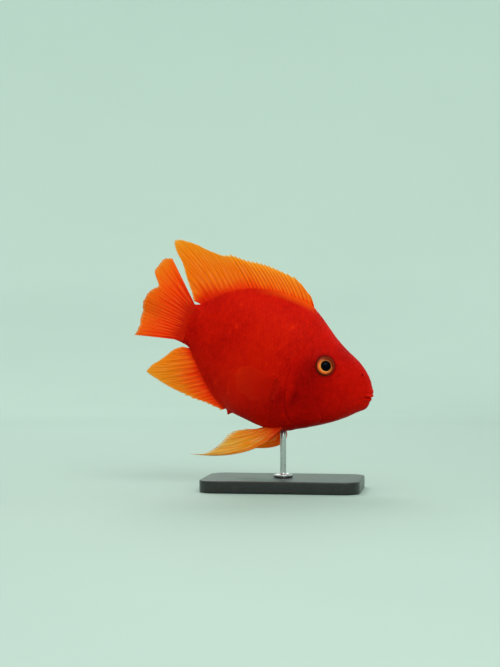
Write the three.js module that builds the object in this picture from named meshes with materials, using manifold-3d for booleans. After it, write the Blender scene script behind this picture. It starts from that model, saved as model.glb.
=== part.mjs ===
import * as THREE from 'three';
import { mergeVertices } from 'three/addons/utils/BufferGeometryUtils.js';
import Module from 'manifold-3d';

// A blood parrot cichlid about 20 cm long, swimming nose down, held over a flat base by one rod.
// Lengths are in millimetres and angles in degrees. +Z is up and the head points along +X.
// The origin is the centre of the underside of the base.
// The fish is drawn straight, in a frame of its own with the snout at zero: u runs back along the
// body, y runs to the fish's left and v runs up. Its tail is then bent and the whole fish tilted.

// Driving dimensions
const touchGap = 0.3; // clear space between neighbouring pieces
const noseDownTilt = 21.5;
const snoutHeight = 80; // of the fish frame's zero above the floor
const snoutAhead = 74; // of the middle of the base
const bendStart = 85; // the body is straight ahead of here
const bendRadius = 330; // of the turn of the tail towards the right side
const noseTip = -0.4;
const stalkStart = 154;
const stalkEnd = 165;
const bodyEnd = 168;
const girthSegments = 32;

// Outline of the body seen from the side, as [u, v]
const backOutline = [
  [noseTip, -5], [0, 0.1], [1.7, 2.8], [4.8, 7.6], [11.7, 14.2], [19.7, 19.3], [31, 24], [43, 30],
  [52, 35.8], [62, 42.2], [70, 45.8], [85, 47.2], [99, 46.9], [111, 44.8], [123, 41.2], [134, 36],
  [143, 29.4], [150, 22.6], [156, 17], [163, 13.6], [bodyEnd, 13.2],
];
const bellyOutline = [
  [noseTip, -5], [0, -12], [1.5, -15.6], [6, -20], [12.4, -26.7], [22.6, -35.4], [35, -44],
  [44.3, -49.6], [52.8, -54.9], [62, -58.4], [71.4, -60.1], [81, -60], [97, -59], [104, -58.2],
  [113, -54], [120.6, -49.6], [128, -44.2], [136, -37.4], [142, -31.6], [148, -26], [153, -22.4],
  [158.5, -20.2], [bodyEnd, -19.6],
];

// Half width seen from above, and how the sections are shaped, each as [u, value]
const halfWidths = [
  [noseTip, 0], [0, 3.6], [1.7, 5.6], [4.8, 7.8], [8, 9.4], [11.7, 11.2], [20, 15], [31, 18.8],
  [43, 21.8], [55, 24.4], [66, 25.6], [78, 25.6], [92, 23.8], [106, 20.6], [120, 16.4], [133, 12],
  [145, 8.4], [155, 6], [163, 4.6], [bodyEnd, 4.2],
];
const widestHeights = [[noseTip, -4.6], [9, -6.6], [20, -8], [66, -8], [100, -5], [130, -3], [bodyEnd, -3]];
const backSharpnesses = [[noseTip, 1], [30, 1.12], [70, 1.3], [110, 1.35], [bodyEnd, 1.1]];
const bellySharpnesses = [[noseTip, 0.95], [30, 0.88], [95, 0.88], [125, 1.25], [bodyEnd, 1.1]];

// Rear edge of the head, and of the gill covers on it, as [u, v] from the nape to the throat
const gillEdge = [
  [65.5, 62], [64, 44], [61, 31], [60, 21], [62.8, 12], [66, 2], [67.2, -9], [65.7, -21], [62.2, -33],
  [56.5, -42.5], [49, -49], [43.5, -56], [40, -68],
];
const coverFront = [
  [39, -44.6], [32, -39.6], [30.5, -35.4], [36, -29], [42.5, -20], [48, -10], [52, 0], [55, 9], [56.6, 16],
];
const coverTop = [57.8, 20];
const coverThickness = 3;
const coverLift = 0.5;

// Eyes, nostrils and mouth
const eyeAt = [43, 6.6];
const eyeRadius = 10;
const eyeHalfDepth = 5.6;
const eyeSunk = 3; // centre of the eye below the skin
const eyeSegments = 20;
const orbitRadius = 12;
const orbitHalfDepth = 4.6;
const orbitSunk = 3.5;
const nostrilAt = [13.1, 10.3];
const nostrilRadius = 0.9;
const nostrilRim = 0.55;
const lipEnd = 9; // corner of the mouth
const lipSpread = 1.9; // of each lip's middle from the line of the mouth
const lipRadius = 1.8;
const lipSunk = 1.3;
const mouthGape = 0.8;

// Fins. The dorsal and anal rays are [u at the root, u at the tip, v at the tip].
const rootDepth = 2.4; // of each fin's root inside the body, before it is trimmed
const spineReach = 1.1; // of the dorsal spines' points past the membrane
const spinesEnd = 0.62; // share of the dorsal fin that is held by spines
const dorsalRays = [
  [68.4, 76.5, 54.4], [72, 86, 60], [76, 94.5, 63.6], [82, 104.5, 64.3], [92, 116.5, 64.8],
  [102, 127, 64], [112, 138, 62.3], [121, 149, 62.1], [128, 158, 59], [133.5, 168, 58.9],
  [138.5, 180, 59.9], [142.5, 190, 59.3], [145.5, 197, 56.2], [148.3, 193, 49], [150.6, 186.1, 43],
  [152.6, 177.6, 32.3], [154.2, 168.6, 21.2], [155.8, 164.4, 15.6],
];
const dorsalSizes = { rayCount: 28, rows: 7, rootThick: 5, webThick: 0.6, ridge: 1.1 };
const dorsalSway = 1.2;
const analRays = [
  [105.8, 111, -59.8], [109, 119, -59.2], [114, 127, -58.8], [119, 134.5, -59.2], [124.5, 146, -58.6],
  [130, 157, -57.6], [135.5, 169, -55.4], [139.5, 180, -52], [143, 178, -46.2], [145.7, 172.2, -37.9],
  [147.5, 168, -31], [149.3, 164.5, -26.2], [151.3, 159.4, -22.6],
];
const analSizes = { rayCount: 17, rows: 7, rootThick: 5, webThick: 0.6, ridge: 1.1 };
const analSway = 1;

// The tail fin's rays are [v at the root, u at the tip, v at the tip]
const tailRays = [
  [-18.6, 198.8, -26.6], [-14, 199, -19], [-10.5, 200.2, -12.5], [-7.5, 200.2, -7], [-4.5, 202.4, -3],
  [-1.5, 203.2, 1.7], [1.5, 203, 7.5], [3.6, 199, 13.4], [5.2, 196.2, 17.2], [6.8, 200.4, 22.5],
  [8.6, 203, 27.1], [10.6, 198.6, 34.4], [12.6, 194, 41],
];
const tailSizes = { rayCount: 16, rows: 8, rootThick: 7.4, webThick: 0.6, ridge: 1 };
const tailSway = 2.2;

// The paired fins' rays are [u, y, v] at the root, at the bow and at the tip, y counted outwards
const pelvicRightRays = [
  [[57.5, 9.5, -53.5], [69.8, 15, -90], [122.5, 19, -100.8]],
  [[61, 8.5, -54.5], [76, 14, -84], [110, 18.5, -96]],
  [[64, 7, -55], [82, 12, -76], [101.6, 16, -85.5]],
  [[67, 5.5, -56], [82, 9, -69], [96, 12.5, -73]],
  [[69.5, 4.5, -57], [76, 6, -63.5], [86, 8, -65.8]],
];
const pelvicLeftRays = [
  [[57.5, 9.5, -53.5], [39.5, 15, -74.5], [103, 21, -88.5]],
  [[61, 8.5, -54.5], [56, 14, -76], [97, 20, -85.5]],
  [[64, 7, -55], [70, 12, -72], [92, 17, -79.5]],
  [[67, 5.5, -56], [76, 9, -67], [88, 13, -72.5]],
  [[69.5, 4.5, -57], [75, 6, -63.5], [83, 8.5, -66.5]],
];
const pelvicSizes = { rayCount: 6, rows: 9, rootThick: 3.4, webThick: 0.6, ridge: 0.7 };
const pectoralRays = [
  [[70, 22.4, -18.5], [81, 33, -15.5], [100.5, 27, -14.5]],
  [[70.2, 22.2, -21.5], [82.5, 33.5, -20], [108.5, 27.5, -19.5]],
  [[70.4, 21.8, -24.5], [82.5, 33.5, -25], [110.5, 27.5, -25.5]],
  [[70.4, 21.2, -27.5], [81.5, 33, -30], [107.5, 27, -32]],
  [[70.2, 20.4, -30.2], [79.5, 32, -34.5], [100.5, 26.5, -38]],
  [[69.8, 19.6, -32.6], [76.5, 30, -37.5], [90.5, 25.5, -41]],
];
const pectoralSizes = { rayCount: 12, rows: 7, rootThick: 3, webThick: 0.6, ridge: 0.6 };

// Vent, just ahead of the anal fin
const ventAt = [104, -58.4];
const ventSize = [2.1, 1.5, 3.4];

// Stand
const baseLength = 130;
const baseWidth = 80;
const baseHeight = 10;
const baseCorner = 14;
const baseBevel = 1.2;
const rodRadius = 2.5;
const rodTop = 58; // before the belly trims it
const footRadius = 8;
const footHeight = 2.4;

const wasm = await Module();
wasm.setup();

const fishMaterials = {
  skin: { color: 0xc2280c, roughness: 0.42, metalness: 0 },
  cover: { color: 0xb3240c, roughness: 0.4, metalness: 0 },
  fin: { color: 0xe0601c, roughness: 0.5, metalness: 0 },
  paleFin: { color: 0xe8842c, roughness: 0.5, metalness: 0 },
  eye: { color: 0xd08a4c, roughness: 0.12, metalness: 0 },
  base: { color: 0x2a2622, roughness: 0.4, metalness: 0 },
  rod: { color: 0xa8a8a4, roughness: 0.3, metalness: 1 },
};

// Smooth function through [place, value] pairs that never overshoots them
function through(pairs) {
  const slopes = [];
  for (let i = 0; i + 1 < pairs.length; i += 1) {
    slopes.push((pairs[i + 1][1] - pairs[i][1]) / (pairs[i + 1][0] - pairs[i][0]));
  }
  const tangents = pairs.map((_, i) => {
    const before = slopes[Math.max(i - 1, 0)];
    const after = slopes[Math.min(i, slopes.length - 1)];
    return before * after > 0 ? (2 * before * after) / (before + after) : 0;
  });
  return (place) => {
    const at = Math.min(Math.max(place, pairs[0][0]), pairs[pairs.length - 1][0]);
    let i = 0;
    while (i + 2 < pairs.length && pairs[i + 1][0] < at) {
      i += 1;
    }
    const span = pairs[i + 1][0] - pairs[i][0];
    const t = (at - pairs[i][0]) / span;
    const rise = t * t * (3 - 2 * t);
    const early = t * (1 - t) * (1 - t) * span * tangents[i];
    const late = t * t * (t - 1) * span * tangents[i + 1];
    return pairs[i][1] * (1 - rise) + pairs[i + 1][1] * rise + early + late;
  };
}

// The same along the body, with the blunt nose drawn out so that it stays round
function alongBody(pairs) {
  const drawnOut = through(pairs.map(([u, value]) => [Math.sqrt(u - noseTip), value]));
  return (u) => drawnOut(Math.sqrt(Math.max(u - noseTip, 0)));
}

const backHeight = alongBody(backOutline);
const bellyHeight = alongBody(bellyOutline);
const halfWidth = alongBody(halfWidths);
const widestHeight = alongBody(widestHeights);
const backSharpness = alongBody(backSharpnesses);
const bellySharpness = alongBody(bellySharpnesses);

// Point of the skin, grown outwards by a little: angle 0 is the back, a quarter turn the left side
function skinPoint(u, angle, grow = 0) {
  const onBack = Math.cos(angle) >= 0;
  const middle = widestHeight(u);
  const reach = (onBack ? backHeight(u) - middle : middle - bellyHeight(u)) + grow;
  const sharpness = onBack ? backSharpness(u) : bellySharpness(u);
  const across = Math.sign(Math.sin(angle)) * Math.abs(Math.sin(angle)) ** sharpness;
  return new THREE.Vector3(-u, across * (halfWidth(u) + grow), middle + reach * Math.cos(angle));
}

// Angle of the skin at a height, on the left side for side 1 and on the right for side -1
function skinAngle(u, v, side) {
  const middle = widestHeight(u);
  const reach = v > middle ? backHeight(u) - middle : middle - bellyHeight(u);
  return side * Math.acos((v - middle) / reach);
}

function skinNormal(u, angle) {
  const step = 0.4;
  const alongU = skinPoint(u + step, angle).sub(skinPoint(u - step, angle));
  const around = skinPoint(u, angle + 0.02).sub(skinPoint(u, angle - 0.02));
  const normal = alongU.cross(around).normalize();
  return normal.y * Math.sin(angle) < 0 ? normal.negate() : normal;
}

// Closed geometry from points and triangles, with its faces turned outwards
function closedGeometry(points, triangles) {
  let volume = 0;
  for (let i = 0; i < triangles.length; i += 3) {
    const [a, b, c] = [points[triangles[i]], points[triangles[i + 1]], points[triangles[i + 2]]];
    volume += a.dot(b.clone().cross(c));
  }
  const geometry = new THREE.BufferGeometry();
  geometry.setAttribute('position', new THREE.Float32BufferAttribute(points.flatMap((p) => p.toArray()), 3));
  geometry.setIndex(volume < 0 ? triangles.slice().reverse() : triangles);
  return geometry;
}

// Closed skin over rings of equally many points, ended by a point at each side
function skinOver(rings, startPoint, endPoint) {
  const count = rings[0].length;
  const points = [startPoint, ...rings.flat(), endPoint];
  const last = points.length - 1;
  const triangles = [];
  for (let i = 0; i < count; i += 1) {
    const next = (i + 1) % count;
    triangles.push(0, 1 + next, 1 + i);
    for (let ring = 0; ring + 1 < rings.length; ring += 1) {
      const here = 1 + ring * count;
      const there = here + count;
      triangles.push(here + i, here + next, there + i);
      triangles.push(here + next, there + next, there + i);
    }
    triangles.push(last, last - count + i, last - count + next);
  }
  return closedGeometry(points, triangles);
}

// Stations close together round the blunt nose and even along the rest
function stations(from) {
  const list = [];
  for (let q = 0.45; noseTip + q * q < 20; q += 0.42) {
    list.push(noseTip + q * q);
  }
  const evenSteps = 29;
  for (let i = 0; i <= evenSteps; i += 1) {
    list.push(THREE.MathUtils.lerp(22, bodyEnd, i / evenSteps));
  }
  return list.filter((u) => u > from);
}

function bodyForm(grow = 0, from = noseTip) {
  const rings = stations(from).map((u) => {
    const ring = [];
    for (let i = 0; i < girthSegments; i += 1) {
      ring.push(skinPoint(u, (2 * Math.PI * i) / girthSegments, grow));
    }
    return ring;
  });
  const startsAtNose = from === noseTip;
  const start = startsAtNose ? noseTip - Math.max(grow, 0) : stations(from)[0];
  const startHeight = startsAtNose ? bellyHeight(noseTip) : widestHeight(start);
  const startPoint = new THREE.Vector3(-start, 0, startHeight);
  const endPoint = new THREE.Vector3(-bodyEnd, 0, widestHeight(bodyEnd));
  return skinOver(rings, startPoint, endPoint);
}

// Solids for joining and cutting
function toSolid(geometry) {
  const bare = geometry.clone();
  bare.deleteAttribute('normal');
  bare.deleteAttribute('uv');
  const merged = mergeVertices(bare, 1e-4);
  return new wasm.Manifold(new wasm.Mesh({
    numProp: 3,
    vertProperties: new Float32Array(merged.attributes.position.array),
    triVerts: new Uint32Array(merged.index.array),
  }));
}

function largestPiece(solid) {
  const pieces = solid.decompose();
  pieces.sort((a, b) => b.volume() - a.volume());
  return pieces[0];
}

function toGeometry(solid) {
  const { vertProperties, triVerts } = largestPiece(solid).getMesh();
  const geometry = new THREE.BufferGeometry();
  geometry.setAttribute('position', new THREE.BufferAttribute(new Float32Array(vertProperties), 3));
  geometry.setIndex(new THREE.BufferAttribute(new Uint32Array(triVerts), 1));
  return geometry;
}

// Prism through the body, across it from one y to another, over an outline of [u, v] points
function prism(outline, fromY, toY) {
  const shape = new THREE.Shape(outline.map(([u, v]) => new THREE.Vector2(-u, v)));
  const geometry = new THREE.ExtrudeGeometry(shape, { depth: toY - fromY, bevelEnabled: false });
  geometry.rotateX(Math.PI / 2);
  geometry.translate(0, toY, 0);
  return toSolid(geometry);
}

// Points along a smooth line through a few [u, v] points, moved sideways by a little
function smoothLine(line, count, shift = 0) {
  const curve = new THREE.SplineCurve(line.map(([u, v]) => new THREE.Vector2(u, v)));
  const points = [];
  for (let i = 0; i <= count; i += 1) {
    const point = curve.getPoint(i / count);
    const tangent = curve.getTangent(i / count);
    points.push([point.x - tangent.y * shift, point.y + tangent.x * shift]);
  }
  return points;
}

// Outline of everything ahead of the gill edge, grown backwards by a little
function headOutline(grow) {
  const edge = smoothLine(gillEdge, 24, grow);
  return [[-20, 62], ...edge, [-20, -68]];
}

// Outline of a gill cover, grown all round by a little; its rear edge may run on past the head
function coverOutline(grow, rearGrow) {
  const rear = smoothLine(gillEdge.slice(3, 11), 16, rearGrow);
  const front = smoothLine(coverFront, 12, grow);
  return [[coverTop[0] - grow, coverTop[1] + grow], ...rear, ...front];
}

// Bend of the tail towards the fish's right, applied to a finished piece
function bend(geometry) {
  const position = geometry.attributes.position;
  for (let i = 0; i < position.count; i += 1) {
    const u = -position.getX(i);
    const y = position.getY(i);
    const turn = Math.max(u - bendStart, 0) / bendRadius;
    const along = turn > 0 ? bendStart + (bendRadius + y) * Math.sin(turn) : u;
    const side = turn > 0 ? (bendRadius + y) * Math.cos(turn) - bendRadius : y;
    position.setX(i, -along);
    position.setY(i, side);
  }
  return geometry;
}

// Matrix that puts a form's Y axis along a direction at a point
function facing(point, direction) {
  const turn = new THREE.Quaternion().setFromUnitVectors(new THREE.Vector3(0, 1, 0), direction);
  return new THREE.Matrix4().compose(point, turn, new THREE.Vector3(1, 1, 1));
}

// Ellipsoid whose short axis is Y
function disc(radius, halfDepth, segments) {
  const geometry = new THREE.SphereGeometry(1, segments, Math.round(segments * 0.55));
  geometry.scale(radius, halfDepth, radius);
  return geometry;
}

// Place under the skin at [u, v] on one side, with the direction out of the head
function sunkPlace([u, v], depth, side) {
  const angle = skinAngle(u, v, side);
  const out = skinNormal(u, angle);
  return { point: skinPoint(u, angle).addScaledVector(out, -depth), out };
}

function eyeSocket(side) {
  const { point, out } = sunkPlace(eyeAt, eyeSunk, side);
  const ball = disc(eyeRadius + touchGap, eyeHalfDepth + touchGap, eyeSegments);
  return toSolid(ball.applyMatrix4(facing(point, out)));
}

function orbit(side) {
  const { point, out } = sunkPlace(eyeAt, orbitSunk, side);
  return toSolid(disc(orbitRadius, orbitHalfDepth, eyeSegments).applyMatrix4(facing(point, out)));
}

function nostrilRing(side) {
  const { point, out } = sunkPlace(nostrilAt, 0.1, side);
  const ring = new THREE.TorusGeometry(nostrilRadius + nostrilRim * 0.7, nostrilRim, 6, 12);
  return toSolid(ring.rotateX(Math.PI / 2).applyMatrix4(facing(point, out)));
}

function nostrilHole(side) {
  const { point, out } = sunkPlace(nostrilAt, 0.4, side);
  const hole = new THREE.CylinderGeometry(nostrilRadius, nostrilRadius * 0.7, 3, 10);
  return toSolid(hole.applyMatrix4(facing(point, out)));
}

// One lip: a tapering roll round the front of the mouth, its ends sunk in the cheeks
function lip(shift) {
  const steps = 10;
  const sides = 8;
  const centres = [];
  for (let i = -steps; i <= steps; i += 1) {
    const spread = Math.abs(i) / steps;
    const u = noseTip + (lipEnd - noseTip) * spread ** 1.8;
    const centre = skinPoint(u, (Math.PI / 2) * (i < 0 ? -1 : 1), -lipSunk * Math.min(1, 6 * spread));
    centre.x -= lipSunk * Math.max(0, 1 - 2 * spread);
    centre.z += shift * (1 - 0.5 * spread ** 2);
    centres.push(centre);
  }
  const rings = centres.map((centre, i) => {
    const ahead = centres[Math.min(i + 1, centres.length - 1)];
    const behind = centres[Math.max(i - 1, 0)];
    const along = ahead.clone().sub(behind).normalize();
    const up = new THREE.Vector3(0, 0, 1);
    const out = along.clone().cross(up).normalize();
    const radius = lipRadius * (1 - 0.45 * (Math.abs(i - steps) / steps) ** 2);
    const ring = [];
    for (let k = 0; k < sides; k += 1) {
      const angle = (2 * Math.PI * k) / sides;
      const offset = out.clone().multiplyScalar(Math.cos(angle)).addScaledVector(up, Math.sin(angle));
      ring.push(centre.clone().addScaledVector(offset, radius));
    }
    return ring;
  });
  return toSolid(skinOver(rings, centres[0], centres[centres.length - 1]));
}

// The gap between the lips, a few millimetres deep at the sides
function mouthCut() {
  const tip = [noseTip - 3, widestHeight(noseTip)];
  const corner = [lipEnd - 0.6, widestHeight(lipEnd - 0.6)];
  const half = mouthGape / 2;
  const outline = [
    [tip[0], tip[1] + half], [corner[0], corner[1] + half * 0.6], [corner[0] + 0.8, corner[1]],
    [corner[0], corner[1] - half * 0.6], [tip[0], tip[1] - half],
  ];
  return prism(outline, -30, 30).subtract(toSolid(bodyForm(-4, 6)));
}

function headSolid(body) {
  let head = body.intersect(prism(headOutline(0), -60, 60));
  head = head.add(lip(lipSpread)).add(lip(-lipSpread)).subtract(mouthCut());
  const core = toSolid(bodyForm(-coverThickness - touchGap, 6));
  for (const side of [1, -1]) {
    head = head.add(orbit(side)).subtract(eyeSocket(side));
    head = head.add(nostrilRing(side)).subtract(nostrilHole(side));
    const inner = side * 2;
    const outer = side * 60;
    const bed = prism(coverOutline(touchGap, 8), Math.min(inner, outer), Math.max(inner, outer));
    head = head.subtract(bed.subtract(core));
  }
  return head;
}

function gillCoverSolid(side) {
  const inner = side * 2;
  const outer = side * 60;
  const region = prism(coverOutline(0, 0), Math.min(inner, outer), Math.max(inner, outer));
  const plate = toSolid(bodyForm(coverLift)).subtract(toSolid(bodyForm(-coverThickness, 6)));
  return plate.intersect(region);
}

function torsoSolid(body) {
  const behind = [[stalkStart - touchGap, 60], [200, 60], [200, -70], [stalkStart - touchGap, -70]];
  const vent = new THREE.SphereGeometry(1, 14, 10);
  vent.scale(...ventSize);
  vent.translate(-ventAt[0], 0, ventAt[1]);
  return body.subtract(prism(headOutline(touchGap), -60, 60))
    .subtract(prism(behind, -60, 60))
    .add(toSolid(vent));
}

function stalkSolid(body) {
  const between = [[stalkStart, 60], [stalkEnd, 60], [stalkEnd, -70], [stalkStart, -70]];
  return body.intersect(prism(between, -60, 60));
}

// A fin: a closed sheet whose rays run from root through bow to tip, with the membrane between.
// rayAt gives those three points for 0 to 1 along the root, sway its waves from side to side and
// spike how far a ray stands out past the membrane.
function finSheet(sizes, rayAt, sway = () => 0, spike = () => 0) {
  const { rayCount, rows, rootThick, webThick, ridge } = sizes;
  const columns = 2 * (rayCount - 1);
  const middle = [];
  for (let column = 0; column <= columns; column += 1) {
    const [root, bow, tip] = rayAt(column / columns);
    const line = [];
    if (column % 2 === 0) {
      const outwards = tip.clone().sub(bow).normalize();
      tip.addScaledVector(outwards, spike(column / columns));
    }
    for (let row = 0; row <= rows; row += 1) {
      const s = row / rows;
      const point = root.clone().multiplyScalar((1 - s) * (1 - s));
      point.addScaledVector(bow, 2 * s * (1 - s)).addScaledVector(tip, s * s);
      point.y += sway(column / columns, s);
      line.push(point);
    }
    middle.push(line);
  }
  const points = [];
  for (const side of [1, -1]) {
    for (let column = 0; column <= columns; column += 1) {
      for (let row = 0; row <= rows; row += 1) {
        const alongRoot = middle[Math.min(column + 1, columns)][row].clone()
          .sub(middle[Math.max(column - 1, 0)][row]);
        const alongRay = middle[column][Math.min(row + 1, rows)].clone()
          .sub(middle[column][Math.max(row - 1, 0)]);
        const out = alongRoot.cross(alongRay).normalize();
        const s = row / rows;
        const fleshy = Math.max(0, 1 - s / 0.3) ** 2;
        const onRay = column % 2 === 0 ? ridge * (1 - 0.45 * s) : 0;
        const thick = webThick + (rootThick - webThick) * fleshy + onRay;
        points.push(middle[column][row].clone().addScaledVector(out, (side * thick) / 2));
      }
    }
  }
  return closedGeometry(points, sheetTriangles(columns, rows));
}

// Both faces of a sheet, split alike, and the four edges that join them
function sheetTriangles(columns, rows) {
  const at = (side, column, row) => (side * (columns + 1) + column) * (rows + 1) + row;
  const triangles = [];
  for (let column = 0; column < columns; column += 1) {
    for (let row = 0; row < rows; row += 1) {
      const corners = (side) => [
        at(side, column, row), at(side, column + 1, row),
        at(side, column + 1, row + 1), at(side, column, row + 1),
      ];
      const [a, b, c, d] = corners(0);
      const [e, f, g, h] = corners(1);
      triangles.push(a, b, c, a, c, d, e, g, f, e, h, g);
    }
    triangles.push(at(0, column, 0), at(1, column, 0), at(1, column + 1, 0));
    triangles.push(at(0, column, 0), at(1, column + 1, 0), at(0, column + 1, 0));
    triangles.push(at(0, column, rows), at(1, column + 1, rows), at(1, column, rows));
    triangles.push(at(0, column, rows), at(0, column + 1, rows), at(1, column + 1, rows));
  }
  for (let row = 0; row < rows; row += 1) {
    triangles.push(at(0, 0, row), at(1, 0, row + 1), at(1, 0, row));
    triangles.push(at(0, 0, row), at(0, 0, row + 1), at(1, 0, row + 1));
    triangles.push(at(0, columns, row), at(1, columns, row), at(1, columns, row + 1));
    triangles.push(at(0, columns, row), at(1, columns, row + 1), at(0, columns, row + 1));
  }
  return triangles;
}

// Bow of a ray that leaves its root more steeply than its tip lies
function bowed(root, tip, amount) {
  const chord = tip.clone().sub(root);
  const across = new THREE.Vector3(chord.z, 0, -chord.x).multiplyScalar(amount);
  return root.clone().addScaledVector(chord, 0.5).add(across);
}

function trimmedFin(sheet) {
  return toSolid(sheet).subtract(toSolid(bodyForm(touchGap)));
}

function dorsalFinSolid() {
  const tipU = through(dorsalRays.map(([u, along]) => [u, along]));
  const tipV = through(dorsalRays.map(([u, , height]) => [u, height]));
  const first = dorsalRays[0][0];
  const last = dorsalRays[dorsalRays.length - 1][0];
  const rayAt = (t) => {
    const u = THREE.MathUtils.lerp(first, last, t ** 0.94);
    const root = new THREE.Vector3(-u, 0, backHeight(u) - rootDepth);
    const tip = new THREE.Vector3(-tipU(u), 0, tipV(u));
    return [root, bowed(root, tip, 0.09), tip];
  };
  const sway = (t, s) => dorsalSway * s * s * Math.sin(7 * t);
  const spike = (t) => (t > 0 && t < spinesEnd ? spineReach : 0);
  return trimmedFin(finSheet(dorsalSizes, rayAt, sway, spike));
}

function analFinSolid() {
  const tipU = through(analRays.map(([u, along]) => [u, along]));
  const tipV = through(analRays.map(([u, , height]) => [u, height]));
  const first = analRays[0][0];
  const last = analRays[analRays.length - 1][0];
  const rayAt = (t) => {
    const u = THREE.MathUtils.lerp(first, last, t);
    const root = new THREE.Vector3(-u, 0, bellyHeight(u) + rootDepth);
    const tip = new THREE.Vector3(-tipU(u), 0, tipV(u));
    return [root, bowed(root, tip, -0.04), tip];
  };
  const sway = (t, s) => -analSway * s * s * Math.sin(5 * t);
  return trimmedFin(finSheet(analSizes, rayAt, sway));
}

function tailFinSolid() {
  const tipU = through(tailRays.map(([v, along]) => [v, along]));
  const tipV = through(tailRays.map(([v, , height]) => [v, height]));
  const rootU = stalkEnd + touchGap;
  const lowest = tailRays[0][0];
  const highest = tailRays[tailRays.length - 1][0];
  const rayAt = (t) => {
    const v = THREE.MathUtils.lerp(lowest, highest, t);
    const root = new THREE.Vector3(-rootU, 0, v);
    const tip = new THREE.Vector3(-tipU(v), 0, tipV(v));
    return [root, root.clone().lerp(tip, 0.5), tip];
  };
  const sway = (t, s) => tailSway * s * s * Math.sin(9 * t - 1.5);
  return toSolid(finSheet(tailSizes, rayAt, sway));
}

// Paired fin on one side, from a few rays given as [u, y, v] points
function pairedFinSolid(rays, side, sizes) {
  const lines = [0, 1, 2].map((part) => {
    const points = rays.map((ray) => ray[part]).map(([u, y, v]) => new THREE.Vector3(-u, side * y, v));
    return new THREE.CatmullRomCurve3(points);
  });
  const rayAt = (t) => lines.map((line) => line.getPoint(t));
  return trimmedFin(finSheet(sizes, rayAt));
}

function baseGeometry() {
  const x = baseLength / 2 - baseBevel - baseCorner;
  const y = baseWidth / 2 - baseBevel - baseCorner;
  const shape = new THREE.Shape();
  shape.absarc(x, y, baseCorner, 0, Math.PI / 2);
  shape.absarc(-x, y, baseCorner, Math.PI / 2, Math.PI);
  shape.absarc(-x, -y, baseCorner, Math.PI, Math.PI * 1.5);
  shape.absarc(x, -y, baseCorner, Math.PI * 1.5, Math.PI * 2);
  const geometry = new THREE.ExtrudeGeometry(shape, {
    depth: baseHeight - 2 * baseBevel,
    bevelThickness: baseBevel,
    bevelSize: baseBevel,
    bevelSegments: 2,
    curveSegments: 6,
  });
  geometry.translate(0, 0, baseBevel);
  return toGeometry(toSolid(geometry));
}

function rodGeometry(bodyInPlace) {
  const bottom = baseHeight + touchGap;
  const profile = [
    [0, bottom], [footRadius, bottom], [footRadius, bottom + footHeight * 0.6],
    [footRadius - 1, bottom + footHeight], [rodRadius + 1, bottom + footHeight + 0.4],
    [rodRadius, bottom + footHeight + 1.6], [rodRadius, rodTop], [0, rodTop],
  ];
  const geometry = new THREE.LatheGeometry(profile.map(([r, z]) => new THREE.Vector2(r, z)), 24);
  geometry.rotateX(Math.PI / 2);
  return toGeometry(toSolid(geometry).subtract(bodyInPlace));
}

function piece(name, geometry, look) {
  const mesh = new THREE.Mesh(geometry, new THREE.MeshStandardMaterial(look));
  mesh.name = name;
  return mesh;
}

function eyePiece(name, side) {
  const { point, out } = sunkPlace(eyeAt, eyeSunk, side);
  const mesh = piece(name, disc(eyeRadius, eyeHalfDepth, eyeSegments), fishMaterials.eye);
  mesh.applyMatrix4(facing(point, out));
  return mesh;
}

const fish = new THREE.Group();
fish.position.set(snoutAhead, 0, snoutHeight);
fish.rotation.y = THREE.MathUtils.degToRad(noseDownTilt);
fish.updateMatrix();

const body = toSolid(bodyForm());
const fishPieces = [
  ['head', headSolid(body), fishMaterials.skin],
  ['gill_cover_left', gillCoverSolid(1), fishMaterials.cover],
  ['gill_cover_right', gillCoverSolid(-1), fishMaterials.cover],
  ['torso', torsoSolid(body), fishMaterials.skin],
  ['tail_stalk', stalkSolid(body), fishMaterials.skin],
  ['dorsal_fin', dorsalFinSolid(), fishMaterials.fin],
  ['anal_fin', analFinSolid(), fishMaterials.fin],
  ['tail_fin', tailFinSolid(), fishMaterials.fin],
  ['pelvic_fin_left', pairedFinSolid(pelvicLeftRays, 1, pelvicSizes), fishMaterials.fin],
  ['pelvic_fin_right', pairedFinSolid(pelvicRightRays, -1, pelvicSizes), fishMaterials.fin],
  ['pectoral_fin_left', pairedFinSolid(pectoralRays, 1, pectoralSizes), fishMaterials.paleFin],
  ['pectoral_fin_right', pairedFinSolid(pectoralRays, -1, pectoralSizes), fishMaterials.paleFin],
];
for (const [name, solid, look] of fishPieces) {
  fish.add(piece(name, bend(toGeometry(solid)), look));
}
fish.add(eyePiece('eye_left', 1));
fish.add(eyePiece('eye_right', -1));

const bodyInPlace = toSolid(bodyForm(touchGap).applyMatrix4(fish.matrix));
const model = new THREE.Group();
model.add(piece('stand_base', baseGeometry(), fishMaterials.base));
model.add(piece('stand_rod', rodGeometry(bodyInPlace), fishMaterials.rod));
model.add(fish);

export default model;
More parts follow.
